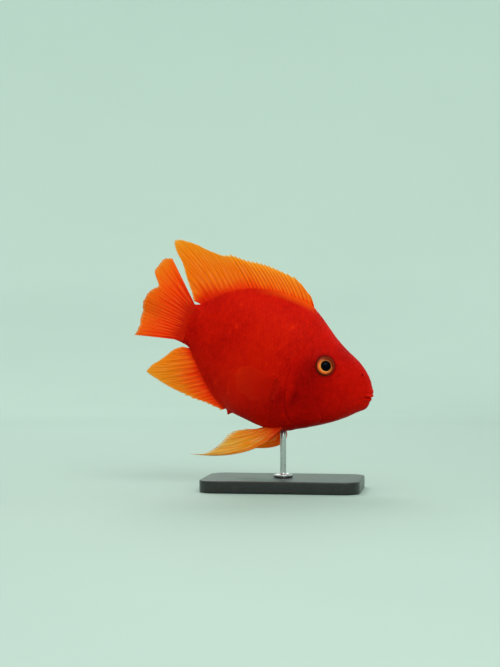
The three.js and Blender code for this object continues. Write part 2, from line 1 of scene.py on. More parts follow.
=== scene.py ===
# Blood parrot cichlid on a display stand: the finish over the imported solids.
# Numbers in the dictionaries are millimetres in the fish's own straight frame, where u runs back
# from the snout, y to the fish's left and v up. inPlace() bends the tail, tilts the fish nose down
# and turns it all into metres. Fins read their rays from the root outwards.
import bpy
import numpy as np
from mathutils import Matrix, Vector


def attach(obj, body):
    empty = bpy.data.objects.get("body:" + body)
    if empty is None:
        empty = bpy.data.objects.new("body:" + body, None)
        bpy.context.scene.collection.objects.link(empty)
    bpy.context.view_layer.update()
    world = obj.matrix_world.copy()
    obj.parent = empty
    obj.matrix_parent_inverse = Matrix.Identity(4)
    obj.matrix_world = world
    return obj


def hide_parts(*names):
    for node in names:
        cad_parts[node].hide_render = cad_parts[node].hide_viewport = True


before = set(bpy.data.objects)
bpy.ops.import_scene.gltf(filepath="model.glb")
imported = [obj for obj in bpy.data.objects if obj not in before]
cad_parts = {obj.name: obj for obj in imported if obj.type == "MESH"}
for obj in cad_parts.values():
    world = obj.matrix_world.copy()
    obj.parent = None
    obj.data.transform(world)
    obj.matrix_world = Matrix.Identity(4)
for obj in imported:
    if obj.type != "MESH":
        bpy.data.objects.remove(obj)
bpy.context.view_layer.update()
print("frame loaded with", len(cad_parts), "nodes")

millimetre = 0.001
rng = np.random.default_rng(7)

# how the fish swims: the tail bends to its right and the nose points down
pose = {"noseDown": 21.5, "snoutHeight": 80, "snoutAhead": 74, "bendStart": 85, "bendRadius": 330}


def inPlace(points):
    u, y, v = np.moveaxis(np.asarray(points, float), -1, 0)
    turn = np.maximum(u - pose["bendStart"], 0) / pose["bendRadius"]
    reach = pose["bendRadius"] + y
    along = np.where(turn > 0, pose["bendStart"] + reach * np.sin(turn), u)
    side = np.where(turn > 0, reach * np.cos(turn) - pose["bendRadius"], y)
    tilt = np.radians(pose["noseDown"])
    x = pose["snoutAhead"] - along * np.cos(tilt) + v * np.sin(tilt)
    z = pose["snoutHeight"] + along * np.sin(tilt) + v * np.cos(tilt)
    return np.stack([x, side, z], -1) * millimetre


def smoothStep(low, high, value):
    t = np.clip((value - low) / (high - low), 0, 1)
    return t * t * (3 - 2 * t)


def bell(distance, width):
    return np.exp(-((distance / width) ** 2))


# share that rises between the first two limits and falls again between the last two
def within(limits, value):
    start, full, lastFull, end = limits
    return smoothStep(start, full, value) * smoothStep(end, lastFull, value)


def unit(vectors):
    return vectors / np.maximum(np.linalg.norm(vectors, axis=-1, keepdims=True), 1e-9)


# sum of soft round patches on the side, each given as u, v, length, height and amount at its middle
def softPatches(patches, u, v):
    return sum(amount * np.exp(-((u - patchU) / length) ** 2 - ((v - patchV) / height) ** 2)
               for patchU, patchV, length, height, amount in patches)


# smooth function through [place, value] pairs that never overshoots them
def through(pairs):
    places, values = np.array(pairs, float).T
    slopes = np.diff(values) / np.diff(places)
    before = np.append(slopes[0], slopes)
    after = np.append(slopes, slopes[-1])
    sameWay = before * after > 0
    tangents = np.where(sameWay, 2 * before * after / np.where(sameWay, before + after, 1), 0)

    def at(place):
        x = np.clip(place, places[0], places[-1])
        i = np.clip(np.searchsorted(places, x) - 1, 0, len(places) - 2)
        span = places[i + 1] - places[i]
        t = (x - places[i]) / span
        rise = t * t * (3 - 2 * t)
        early = t * (1 - t) ** 2 * span * tangents[i]
        late = t * t * (t - 1) * span * tangents[i + 1]
        return values[i] * (1 - rise) + values[i + 1] * rise + early + late

    return at


# closed mesh from corners in metres, with its faces turned outwards. Every face is given as four
# corners, and where two are alike it is a triangle at a pole. The triangles come last, and may be flat
# with a sharp edge round them.
def makePiece(name, corners, faces, attributes, flatTriangles=False):
    a, b, c, d = (corners[faces[:, corner]] for corner in range(4))
    if np.sum(a * (np.cross(b, c) + np.cross(c, d))) < 0:
        faces = faces[:, ::-1]
    isTriangle = (faces[:, 0] == faces[:, 1]) | (faces[:, 2] == faces[:, 3])
    quads, triangles = faces[~isTriangle], faces[isTriangle]
    endsAlike = triangles[:, 2:3] == triangles[:, 3:]
    triangles = np.where(endsAlike, triangles[:, :3], triangles[:, 1:])
    loops = np.concatenate([quads.ravel(), triangles.ravel()])
    totals = np.repeat([4, 3], [len(quads), len(triangles)])
    mesh = bpy.data.meshes.new(name)
    mesh.vertices.add(len(corners))
    mesh.vertices.foreach_set("co", corners.astype(np.float32).ravel())
    mesh.loops.add(len(loops))
    mesh.loops.foreach_set("vertex_index", loops.astype(np.int32))
    mesh.polygons.add(len(totals))
    mesh.polygons.foreach_set("loop_start", (np.cumsum(totals) - totals).astype(np.int32))
    mesh.polygons.foreach_set("loop_total", totals.astype(np.int32))
    mesh.update(calc_edges=True)
    mesh.validate()
    mesh.shade_smooth()
    if flatTriangles:
        mesh.polygons.foreach_set("use_smooth", totals == 4)
        sharpenBetween(mesh, np.repeat(totals == 3, totals))
    for key, values in attributes.items():
        kind, field = ("FLOAT", "value") if np.ndim(values) == 1 else ("FLOAT_VECTOR", "vector")
        layer = mesh.attributes.new(key, kind, "POINT")
        layer.data.foreach_set(field, np.asarray(values, np.float32).ravel())
    piece = bpy.data.objects.new(name, mesh)
    bpy.context.scene.collection.objects.link(piece)
    return piece


# sharp edges wherever a flat face meets a smooth one
def sharpenBetween(mesh, isFlat):
    edgeOfLoop = np.zeros(len(mesh.loops), np.int32)
    mesh.loops.foreach_get("edge_index", edgeOfLoop)
    besideFlat, besideSmooth = np.zeros((2, len(mesh.edges)), bool)
    besideFlat[edgeOfLoop[isFlat]] = True
    besideSmooth[edgeOfLoop[~isFlat]] = True
    mesh.edges.foreach_set("use_edge_sharp", besideFlat & besideSmooth)


# quads between neighbouring rows of a grid of points, whose columns may close into a ring
def gridFaces(rows, columns, closed=False):
    across = np.arange(columns if closed else columns - 1)
    row, column = np.meshgrid(np.arange(rows - 1), across, indexing="ij")
    after = (column + 1) % columns
    here, there = row * columns, (row + 1) * columns
    return np.stack([here + column, here + after, there + after, there + column], -1).reshape(-1, 4)


# the grid's outer points in their order round it
def gridRim(rows, columns):
    index = np.arange(rows * columns).reshape(rows, columns)
    return np.concatenate([index[0], index[1:, -1], index[-1, -2::-1], index[-2:0:-1, 0]])


# rings of points joined into a tube, closed at its ends by the middle points that follow the rings
def tubeFaces(rings, columns, bothEnds=True):
    ring = np.arange(columns)
    after = (ring + 1) % columns
    middle = np.full(columns, rings * columns)
    faces = [gridFaces(rings, columns, closed=True), np.stack([after, ring, middle, middle], -1)]
    if bothEnds:
        last = (rings - 1) * columns
        faces.append(np.stack([last + ring, last + after, middle + 1, middle + 1], -1))
    return np.concatenate(faces)


def setUv(piece, uvPerPoint):
    layer = piece.data.uv_layers.new(name="OFBake")
    loops = np.zeros(len(piece.data.loops), np.int32)
    piece.data.loops.foreach_get("vertex_index", loops)
    layer.data.foreach_set("uv", uvPerPoint.astype(np.float32)[loops].ravel())


# gives a piece its finish, the imported nodes that it stands for, if any, and its body; the slot is not
# used
def dress(piece, finish, slot, *nodes):
    piece.data.materials.append(finish)
    if nodes:
        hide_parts(*nodes)
    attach(piece, "root")
    print(piece.name, "made with", len(piece.data.polygons), "faces")


# node material helpers
def srgb(red, green, blue):
    channels = np.array([red, green, blue]) / 255
    linear = np.where(channels <= 0.04045, channels / 12.92, ((channels + 0.055) / 1.055) ** 2.4)
    return (*linear.tolist(), 1)


class Finish:
    def __init__(self, name):
        self.material = bpy.data.materials.new(name)
        self.material.use_nodes = True
        self.tree = self.material.node_tree
        self.shader = self.tree.nodes["Principled BSDF"]
        self.place = self.tree.nodes.new("ShaderNodeTexCoord").outputs["Object"]

    def join(self, source, target):
        if isinstance(source, (int, float, tuple)):
            target.default_value = source
        else:
            self.tree.links.new(source, target)

    def attribute(self, name, output="Fac"):
        node = self.tree.nodes.new("ShaderNodeAttribute")
        node.attribute_name = name
        return node.outputs[output]

    def noise(self, scale, detail=3, roughness=0.55, place=None):
        node = self.tree.nodes.new("ShaderNodeTexNoise")
        node.inputs["Scale"].default_value = scale
        node.inputs["Detail"].default_value = detail
        node.inputs["Roughness"].default_value = roughness
        self.join(place or self.place, node.inputs["Vector"])
        return node.outputs["Fac"]

    def cells(self, scale):
        node = self.tree.nodes.new("ShaderNodeTexVoronoi")
        node.inputs["Scale"].default_value = scale
        self.join(self.place, node.inputs["Vector"])
        return node.outputs["Distance"]

    def stretched(self, scales):
        node = self.tree.nodes.new("ShaderNodeMapping")
        node.inputs["Scale"].default_value = scales
        self.join(self.place, node.inputs["Vector"])
        return node.outputs["Vector"]

    def math(self, operation, *values):
        node = self.tree.nodes.new("ShaderNodeMath")
        node.operation = operation
        for value, socket in zip(values, node.inputs):
            self.join(value, socket)
        return node.outputs[0]

    def plus(self, first, second):
        return self.math("ADD", first, second)

    def times(self, first, second):
        return self.math("MULTIPLY", first, second)

    # fine ridges: a wave each time the value rises by one
    def waves(self, value):
        return self.math("SINE", self.times(value, 2 * np.pi))

    # value moved from one range to another, held at its ends
    def between(self, value, low, high, newLow=0.0, newHigh=1.0, smooth=False):
        node = self.tree.nodes.new("ShaderNodeMapRange")
        node.interpolation_type = "SMOOTHSTEP" if smooth else "LINEAR"
        self.join(value, node.inputs["Value"])
        node.inputs["From Min"].default_value = low
        node.inputs["From Max"].default_value = high
        node.inputs["To Min"].default_value = newLow
        node.inputs["To Max"].default_value = newHigh
        return node.outputs["Result"]

    # noise spread over a whole range, as its own values keep near their middle
    def uneven(self, noise, low=0.0, high=1.0):
        return self.between(noise, 0.3, 0.7, low, high)

    def ramp(self, value, stops):
        node = self.tree.nodes.new("ShaderNodeValToRGB")
        elements = node.color_ramp.elements
        while len(elements) < len(stops):
            elements.new(0.5)
        for element, (position, colour) in zip(elements, stops):
            element.position = position
            element.color = srgb(*colour)
        self.join(value, node.inputs["Fac"])
        return node.outputs["Color"]

    def mix(self, share, first, second):
        node = self.tree.nodes.new("ShaderNodeMix")
        node.data_type = "RGBA"
        self.join(share, node.inputs["Factor"])
        self.join(first, node.inputs[6])
        self.join(second, node.inputs[7])
        return node.outputs[2]

    def bump(self, height, strength, distance, below=None):
        node = self.tree.nodes.new("ShaderNodeBump")
        node.inputs["Strength"].default_value = strength
        node.inputs["Distance"].default_value = distance
        self.join(height, node.inputs["Height"])
        if below is not None:
            self.join(below, node.inputs["Normal"])
        return node.outputs["Normal"]

    def set(self, **sockets):
        for key, value in sockets.items():
            self.join(value, self.shader.inputs[socketNames[key]])
        return self.material


socketNames = {
    "colour": "Base Color", "roughness": "Roughness", "normal": "Normal", "metal": "Metallic",
    "flesh": "Subsurface Weight", "fleshRadius": "Subsurface Radius", "fleshScale": "Subsurface Scale",
    "shine": "Specular IOR Level", "glint": "Specular Tint", "alpha": "Alpha",
    "glow": "Emission Color", "glowStrength": "Emission Strength",
}

# the body as seen from the side and from above, each list as [u, value]
noseTip = -0.4
body = {
    "end": 169.5,
    "back": [
        [noseTip, -5], [0, 0.1], [1.7, 2.8], [4.8, 7.6], [11.7, 14.2], [19.7, 19.3], [31, 24], [43, 30],
        [52, 35.8], [62, 42.2], [70, 45.8], [85, 47.2], [99, 46.9], [111, 44.8], [123, 41.2], [134, 36],
        [143, 29.4], [150, 22.6], [156, 17], [163, 13.6], [168, 13.2],
    ],
    "belly": [
        [noseTip, -5], [0, -12], [1.5, -15.6], [6, -20], [12.4, -26.7], [22.6, -35.4], [35, -44],
        [44.3, -49.6], [52.8, -54.9], [62, -58.4], [71.4, -60.1], [81, -60], [97, -59], [104, -58.2],
        [113, -54], [120.6, -49.6], [128, -44.2], [136, -37.4], [142, -31.6], [148, -26], [153, -22.4],
        [158.5, -20.2], [168, -19.6],
    ],
    "halfWidth": [
        [noseTip, 0], [0, 3.6], [1.7, 5.6], [4.8, 7.8], [8, 9.4], [11.7, 11.2], [20, 15], [31, 18.8],
        [43, 21.8], [55, 24.4], [66, 25.6], [78, 25.6], [92, 23.8], [106, 20.6], [120, 16.4], [133, 12],
        [145, 8.4], [155, 6], [163, 4.6], [168, 4.2],
    ],
    "widestHeight": [[noseTip, -4.6], [9, -6.6], [20, -8], [66, -8], [100, -5], [130, -3], [168, -3]],
    "backSharpness": [[noseTip, 1], [30, 1.12], [70, 1.3], [110, 1.35], [168, 1.1]],
    "bellySharpness": [[noseTip, 0.95], [30, 0.88], [95, 0.88], [125, 1.25], [168, 1.1]],
    "coatDepth": 0.25, "coatFrom": (0.2, 3),  # how far the skin lies under the solids, away from the nose
    # how the stalk closes round the tail's rays
    "tailRound": 12, "tailEndWidth": 0.1, "tailRoundPower": 0.7,
}


# the same along the body, with the blunt nose drawn out so that it stays round
def alongBody(pairs):
    drawnOut = through([[np.sqrt(u - noseTip), value] for u, value in pairs])
    return lambda u: drawnOut(np.sqrt(np.maximum(u - noseTip, 0)))


backHeight = alongBody(body["back"])
bellyHeight = alongBody(body["belly"])
halfWidth = alongBody(body["halfWidth"])
widestHeight = alongBody(body["widestHeight"])
backSharpness = alongBody(body["backSharpness"])
bellySharpness = alongBody(body["bellySharpness"])


# point of the plain body; angle 0 is the back and a quarter turn the left side
def bodyPoint(u, angle):
    u, angle = np.broadcast_arrays(u, angle)
    onBack = np.cos(angle) >= 0
    middle = widestHeight(u)
    reach = np.where(onBack, backHeight(u) - middle, middle - bellyHeight(u))
    sharpness = np.where(onBack, backSharpness(u), bellySharpness(u))
    closing = smoothStep(0, 1, (body["end"] - u) / body["tailRound"]) ** body["tailRoundPower"]
    narrow = body["tailEndWidth"] + (1 - body["tailEndWidth"]) * closing
    across = np.sign(np.sin(angle)) * np.abs(np.sin(angle)) ** sharpness
    return np.stack([u, across * halfWidth(u) * narrow, middle + reach * np.cos(angle)], -1)


def bodyOutward(u, angle):
    along = bodyPoint(u + 0.2, angle) - bodyPoint(u - 0.2, angle)
    around = bodyPoint(u, angle + 0.01) - bodyPoint(u, angle - 0.01)
    return unit(np.cross(along, around))


def angleAt(u, v, side):
    middle = widestHeight(u)
    reach = np.where(v > middle, backHeight(u) - middle, middle - bellyHeight(u))
    return side * np.arccos(np.clip((v - middle) / reach, -1, 1))


def placeOnSide(spot, side):
    u, v = spot
    angle = angleAt(u, v, side)
    return bodyPoint(u, angle), bodyOutward(u, angle)


# distance of a side point from a line given as [u, v] points, behind it counted as more than zero
def distanceBehind(line, u, v):
    lineAt = through(sorted([height, along] for along, height in line))
    slope = lineAt(v + 0.5) - lineAt(v - 0.5)
    return (u - lineAt(v)) / np.sqrt(1 + slope ** 2)


# what stands out of the plain body or is cut into it. A furrow is its depth and width, then how dark the
# shade painted along it is and how wide; "along" and "heights" say where a form starts, is full, and ends.
gill = {
    "edge": [
        [65.5, 62], [64, 44], [61, 31], [60, 21], [62.8, 12], [66, 2], [67.2, -9], [65.7, -21],
        [62.2, -33], [56.5, -42.5], [49, -49], [43.5, -56], [40, -68],
    ],
    "cheekLine": [
        [39, -44.6], [32, -39.6], [30.5, -35.4], [36, -29], [42.5, -20], [48, -10], [52, 0], [55, 9],
        [56.6, 16],
    ],
    "platesLine": [[47, -24], [53, -25.5], [60, -25], [65.5, -21]],
    "heights": (-55, -40, 12, 23), "lift": 0.5, "rearSlope": (0.35, -0.45), "frontSlope": (-1.2, 1.4),
    "grooveBehind": 1.0, "grooveWidth": 0.9, "grooveDepth": 0.55, "grooveRise": 0.6,
    "shade": 0.12, "shadeBehind": 0.7, "shadeWidth": 1.2, "shadeFade": (14, -14),
    "cheekHeights": (-46, -40, 8, 17), "cheekFurrow": (0.28, 0.9, 0.08, 1.6),
    "platesFrom": (46, 50), "platesEdge": (0.5, -1.5), "platesFurrow": (0.22, 0.7, 0.08, 1.4),
    "throatAlong": (16, 26, 42, 50), "throatFolds": [3.2, 6.4, 9.4, 12.2],
    "throatFurrow": (0.2, 0.55, 0.08, 0.55),
}
mouth = {
    "corner": 6.4, "cornerFade": 4.5, "slit": (1.2, 0.36, 0.6, 0.45),
    "lips": [(1.95, 0.75), (-1.65, 0.4)], "lipWidth": 1.05,  # height over the slit and how full
    "folds": [(3.6, 0.15), (-3.6, -0.2)], "foldFurrow": (0.28, 0.7, 0.12, 0.7),  # height and slope
    "jawLine": [[4.5, -7], [8, -9], [11.5, -13], [13.5, -18]], "jawAlong": (3.5, 6, 12, 14.5),
    "jawFurrow": (0.25, 1.125, 0.1, 1.2),
}
headForms = [  # u, v, length, height, how far out: before the eye, below it and above it
    (27, 3, 5, 4.5, -0.35), (36, -9, 6, 2.6, 0.3), (40, 19.5, 9, 2.2, 0.25),
]
eye = {
    "spot": (43, 6.6), "sunk": 3, "swellRadius": 10.4, "swellHeight": 0.55, "swellWidth": 2.6,
    "lidRadius": 8.4, "lidHeight": 0.5, "lidWidth": 0.8, "socketDepth": 3.2, "socketFrom": 7.9,
    "socketTo": 7.0, "shade": 0.6, "shadeFrom": 10.8,
}
nostril = {
    "spot": (13.1, 10.3), "radius": 0.75, "depth": 1.3, "softness": 0.35,
    "shade": 0.7, "shadeSoftness": 0.3, "rim": 0.4, "rimRadius": 1.35, "rimWidth": 0.45,
}
pores = {
    "spots": [
        (17, 2), (21, -4), (26, -8.5), (32, -10.5), (38, -10),
        (8, -15.5), (13, -20.5), (19, -26), (26, -32.5),
    ],
    "furrow": (0.28, 0.42, 0.2, 0.42),
}
vent = {
    "spot": (104.2, -58.4), "below": -40, "reach": 3.5, "width": 1.6, "narrow": 1.2,
    "tintWidth": 1.76, "tintFade": (-58.5, -60.5),
}
finRidge = {
    "height": 2.2, "width": 2.3,
    "back": (66, 76, 151, 158), "belly": (104, 112, 147, 154), "bellyBelow": -10,
    "nape": (64, 74, 90, 125), "napeFade": (4.5, -1.5), "napeShare": 0.75, "rootShare": 0.2,
    "colour": (238, 82, 4),
}
muscle = {"along": (70, 84, 150, 166), "middle": -4, "slant": 0.55, "pitch": 3.3, "height": 0.06}
elsewhere = 99  # stands for a distance on the fish's other side


# a furrow lowers the surface and paints shade along it
def cutFurrow(lift, paintedShade, furrow, distance, where=1):
    depth, width, shade, shadeWidth = furrow
    lift -= depth * bell(distance, width) * where
    paintedShade += shade * bell(distance, shadeWidth) * where


# gill cover: a raised plate with a free rear edge over a groove, and the furrows before and on it;
# shade is painted along the groove and the furrows
def carveGill(lift, paintedShade, u, v):
    behind = distanceBehind(gill["edge"], u, v)
    fromCheek = distanceBehind(gill["cheekLine"], u, v)
    held = within(gill["heights"], v)
    plate = smoothStep(*gill["rearSlope"], behind) * smoothStep(*gill["frontSlope"], fromCheek)
    lift += gill["lift"] * plate * held
    groove = bell(behind - gill["grooveBehind"], gill["grooveWidth"]) * held
    lift -= gill["grooveDepth"] * groove * smoothStep(0, gill["grooveRise"], behind)
    shade = bell(behind - gill["shadeBehind"], gill["shadeWidth"]) * held
    paintedShade += gill["shade"] * shade * smoothStep(*gill["shadeFade"], v)
    cutFurrow(lift, paintedShade, gill["cheekFurrow"], fromCheek, within(gill["cheekHeights"], v))
    onPlates = smoothStep(*gill["platesFrom"], u) * smoothStep(*gill["platesEdge"], behind)
    cutFurrow(lift, paintedShade, gill["platesFurrow"], v - through(gill["platesLine"])(u), onPlates)
    for height in gill["throatFolds"]:
        aboveFold = v - bellyHeight(u) - height
        cutFurrow(lift, paintedShade, gill["throatFurrow"], aboveFold, within(gill["throatAlong"], u))


# lips round a closed mouth, with the furrow behind the upper jaw; shade is painted into the slit and the
# furrows
def carveMouth(lift, paintedShade, u, v):
    fromSlit = v - widestHeight(u)
    onMouth = smoothStep(mouth["corner"], mouth["corner"] - mouth["cornerFade"], u)
    cutFurrow(lift, paintedShade, mouth["slit"], fromSlit, onMouth)
    for height, fullness in mouth["lips"]:
        lift += fullness * bell(fromSlit - height, mouth["lipWidth"]) * onMouth
    for height, slope in mouth["folds"]:
        cutFurrow(lift, paintedShade, mouth["foldFurrow"], fromSlit - height - slope * u, onMouth)
    fromJaw = v - through(mouth["jawLine"])(u)
    cutFurrow(lift, paintedShade, mouth["jawFurrow"], fromJaw, within(mouth["jawAlong"], u))


# socket and lid of the eye, nostril with its rim, and the pores along the cheek and the lower jaw;
# shade is painted round the socket, in the nostril and in the pores
def carveSide(lift, paintedShade, point, side):
    onSide = point[..., 1] * side > 0
    centre, out = placeOnSide(eye["spot"], side)
    apart = point - centre
    fromAxis = np.sqrt(np.maximum((apart ** 2).sum(-1) - (apart @ out) ** 2, 0))
    fromAxis = np.where(onSide, fromAxis, elsewhere)
    lift += eye["swellHeight"] * bell(fromAxis - eye["swellRadius"], eye["swellWidth"])
    lift += eye["lidHeight"] * bell(fromAxis - eye["lidRadius"], eye["lidWidth"])
    lift -= eye["socketDepth"] * smoothStep(eye["socketFrom"], eye["socketTo"], fromAxis)
    paintedShade += eye["shade"] * smoothStep(eye["shadeFrom"], eye["socketFrom"], fromAxis)

    def distanceFrom(spot):
        apart = point - placeOnSide(spot, side)[0]
        return np.where(onSide, np.linalg.norm(apart, axis=-1), elsewhere)

    fromHole, radius = distanceFrom(nostril["spot"]), nostril["radius"]
    softness, shadeSoftness = nostril["softness"], nostril["shadeSoftness"]
    lift += nostril["rim"] * bell(fromHole - nostril["rimRadius"], nostril["rimWidth"])
    lift -= nostril["depth"] * smoothStep(radius + softness, radius - softness, fromHole)
    paintedShade += nostril["shade"] * smoothStep(radius + shadeSoftness, radius - shadeSoftness, fromHole)
    for spot in pores["spots"]:
        cutFurrow(lift, paintedShade, pores["furrow"], distanceFrom(spot))


# share of a fin's fleshy ridge: full on the midline of back or belly between the fin's ends
def ridgeShare(u, y, v):
    onBack = within(finRidge["back"], u) * (v > 0)
    onBelly = within(finRidge["belly"], u) * (v < finRidge["bellyBelow"])
    return bell(y, finRidge["width"]) * (onBack + onBelly)


def distanceFromVent(u, y):
    return np.hypot(u - vent["spot"][0], y * vent["narrow"])


# how far the living surface stands off the plain body, and how much shade is painted into its hollows
def relief(u, angle):
    u, angle = np.broadcast_arrays(u, angle)
    point = bodyPoint(u, angle)
    y, v = point[..., 1], point[..., 2]
    lift, paintedShade = np.zeros((2, *u.shape))
    carveGill(lift, paintedShade, u, v)
    carveMouth(lift, paintedShade, u, v)
    lift += softPatches(headForms, u, v)
    for side in (1, -1):
        carveSide(lift, paintedShade, point, side)
    lift += vent["reach"] * bell(distanceFromVent(u, y), vent["width"]) * (v < vent["below"])
    lift += finRidge["height"] * ridgeShare(u, y, v)
    chevron = np.sin((u + muscle["slant"] * np.abs(v - muscle["middle"])) / muscle["pitch"])
    lift += muscle["height"] * chevron * within(muscle["along"], u)
    return lift, np.clip(paintedShade, 0, 1)


# markings shared by the skin and the scales: how bright the red is, from dark 0 to orange-red 1. The soft
# patches are partly the fish's own darker and lighter red and partly painted shade and painted light, such
# as the dark gill cover and the lighter flank and belly edge
markingsAndPaintedLight = {
    "belly": 0.60, "back": 0.62, "heights": (0.02, 1.0),
    "patches": [  # u, v, length, height, how much brighter
        (52, -26, 17, 18, -0.24), (57, -28, 2.6, 11, -0.10), (67, -32, 3.6, 9, -0.12),
        (62, -27, 2, 6, 0.08), (48, -48, 22, 8, -0.10), (22, -14, 20, 16, -0.06),
        (55, 4, 16, 14, -0.22), (28, 18, 26, 8, -0.02), (90, 24, 34, 18, 0.06), (96, 0, 24, 16, 0.13),
        (136, -6, 18, 14, -0.05), (46, -8, 12, 10, -0.06), (124, 34, 24, 10, 0.06),
        (102, -32, 34, 18, 0.13), (146, -6, 16, 16, 0.08), (68, 8, 7, 8, 0.10), (28, 16, 16, 9, -0.10),
        (12, 6, 8, 6, -0.04), (56, -13, 6, 6, -0.10), (57, -45, 8, 9, 0.10), (122, 8, 16, 12, 0.04),
        (80, -15, 12, 8, 0.06), (110, -53, 14, 7, 0.12), (138, -26, 9, 9, 0.09), (155, 12, 6, 6, 0.08),
        (34, 22, 7, 5, -0.10), (50, -56, 14, 6, 0.09), (30, -16, 9, 8, 0.05),
    ],
}
skinLook = {
    "tailFrom": (159, 172), "tail": (220, 38, 0), "vent": (186, 84, 84),
    "ramp": [
        (0.0, (62, 0, 0)), (0.25, (128, 0, 0)), (0.45, (168, 4, 0)), (0.65, (198, 12, 0)),
        (0.85, (214, 24, 0)), (1.0, (226, 40, 0)),
    ],
    # hollowShade: how much the shade painted into hollows darkens the red
    "broadScale": 38, "mottleScale": 330, "unevenness": 0.06, "hollowShade": 0.75,
    # painted shadow along the free edge of each scale
    "rimFrom": (0.7, 0.9), "rimShadowTone": -0.06,  # along each scale
    "roughness": (0.43, 0.58), "roughScale": 900, "shine": 0.07, "glint": (1.0, 0.42, 0.34, 1),
    # bumps as strength and depth in metres, and the growth rings' wavering as a share of their pitch
    "grain": (0.3, 0.0003), "grainScale": 2200, "pebbles": (0.3, 0.00025), "pebbleScale": 1250,
    "rings": (0.25, 0.00005), "waver": 0.4, "waverScale": 500,
    "flesh": 0.1, "fleshRadius": (1.0, 0.2, 0.08), "fleshScale": 0.002,
}


def toneAt(u, v):
    up = (v - bellyHeight(u)) / np.maximum(backHeight(u) - bellyHeight(u), 1)
    tone = markingsAndPaintedLight["belly"] + (markingsAndPaintedLight["back"] - markingsAndPaintedLight["belly"]) * smoothStep(*markingsAndPaintedLight["heights"], up)
    return np.clip(tone + softPatches(markingsAndPaintedLight["patches"], u, v), 0, 1)


# the tail fin's red-orange at the end of the stalk, and the fins' orange on the ridges at their roots,
# where it reaches furthest down the nape
def tintsAt(points):
    u, y, v = points.T
    onNape = smoothStep(*finRidge["napeFade"], backHeight(u) - v) * within(finRidge["nape"], u) * (v > 0)
    onRidge = ridgeShare(u, y, v) ** 2
    return {
        "nearTail": smoothStep(*skinLook["tailFrom"], u),
        "nearRoots": np.maximum(finRidge["rootShare"] * onRidge, finRidge["napeShare"] * onNape),
    }


def ventTint(points):
    u, y, v = points.T
    return bell(distanceFromVent(u, y), vent["tintWidth"]) * smoothStep(*vent["tintFade"], v)


def bodyFinish(name, onScales):
    finish = Finish(name)
    spread = skinLook["unevenness"]
    broad = finish.uneven(finish.noise(skinLook["broadScale"], 2), -spread, spread)
    mottled = finish.uneven(finish.noise(skinLook["mottleScale"], 3), -spread, spread)
    tone = finish.plus(finish.plus(finish.attribute("tone"), broad), mottled)
    if onScales:
        tone = finish.plus(tone, finish.attribute("scaleTone"))
        # painted shadow along each scale's rim
        rim = finish.between(finish.attribute("scaleEdge"), *skinLook["rimFrom"], 0.0, skinLook["rimShadowTone"])
        tone = finish.plus(tone, rim)
    colour = finish.ramp(tone, skinLook["ramp"])
    colour = finish.mix(finish.attribute("nearTail"), colour, srgb(*skinLook["tail"]))
    colour = finish.mix(finish.attribute("nearRoots"), colour, srgb(*finRidge["colour"]))
    if not onScales:
        colour = finish.mix(finish.attribute("vent"), colour, srgb(*skinLook["vent"]))
    roughness = finish.between(finish.noise(skinLook["roughScale"], 2), 0.25, 0.75, *skinLook["roughness"])
    grain = finish.bump(finish.noise(skinLook["grainScale"], 4, 0.6), *skinLook["grain"])
    if onScales:
        wavering = finish.noise(skinLook["waverScale"], 2)
        wavering = finish.uneven(wavering, -skinLook["waver"], skinLook["waver"])
        rings = finish.waves(finish.plus(finish.attribute("growth"), wavering))
        normal = finish.bump(rings, *skinLook["rings"], below=grain)
    else:
        normal = finish.bump(finish.cells(skinLook["pebbleScale"]), *skinLook["pebbles"], below=grain)
    return finish.set(
        colour=colour, roughness=roughness, normal=normal, shine=skinLook["shine"], glint=skinLook["glint"],
        flesh=skinLook["flesh"], fleshRadius=skinLook["fleshRadius"], fleshScale=skinLook["fleshScale"],
    )


skinMesh = {
    "noseFrom": 0.06, "noseTo": 3.2, "noseStep": 0.036,  # as square roots of the distance from the tip
    "headGap": 0.27, "headStep": 0.31, "headEnd": 69, "restStart": 69.5, "restRings": 76, "endGap": 0.02,
    "girthPoints": 272, "denser": [(1.17, 0.34, 1.7), (1.57, 0.2, 0.4)],  # angle, width and share of more
    "nosePole": 1.3,  # how far inside the tip the first faces meet
}


def skinStations():
    nose = noseTip + np.arange(skinMesh["noseFrom"], skinMesh["noseTo"], skinMesh["noseStep"]) ** 2
    head = np.arange(nose[-1] + skinMesh["headGap"], skinMesh["headEnd"], skinMesh["headStep"])
    rest = np.linspace(skinMesh["restStart"], body["end"] - skinMesh["endGap"], skinMesh["restRings"])
    return np.concatenate([nose, head, rest])


# girth angles, closer together at the height of the eyes
def girthAngles():
    fine = np.linspace(0, np.pi, 721)
    density = 1 + sum(more * bell(fine - angle, width) for angle, width, more in skinMesh["denser"])
    total = np.concatenate([[0], np.cumsum((density[1:] + density[:-1]) / 2)])
    left = np.interp(np.linspace(0, total[-1], skinMesh["girthPoints"] // 2 + 1), total, fine)
    return np.concatenate([left, -left[-2:0:-1]])


# place on the bake map: the snout at its left, the belly at its top and bottom
def onMap(u, angle):
    return 0.02 + 0.96 * np.stack([u / body["end"], (angle / np.pi + 1) / 2], -1)


def makeSkin():
    u, angle = np.meshgrid(skinStations(), girthAngles(), indexing="ij")
    lift, paintedShade = relief(u, angle)
    lift -= body["coatDepth"] * smoothStep(*body["coatFrom"], u)
    surface = bodyPoint(u, angle) + bodyOutward(u, angle) * lift[..., None]
    nose = [noseTip + skinMesh["nosePole"], 0, widestHeight(noseTip)]
    tail = [body["end"], 0, widestHeight(body["end"])]
    points = np.concatenate([surface.reshape(-1, 3), [nose, tail]])
    # the shade painted into hollows darkens the tone, fully at the nose's pole
    shade = skinLook["hollowShade"] * np.append(paintedShade, [1, 0])
    skin = makePiece("fish_skin", inPlace(points), tubeFaces(*u.shape), {
        "tone": toneAt(points[:, 0], points[:, 2]) * (1 - shade), **tintsAt(points),
        "vent": ventTint(points),
    })
    setUv(skin, onMap(np.append(u, [0, body["end"]]), np.append(angle, [0, 0])))
    return skin


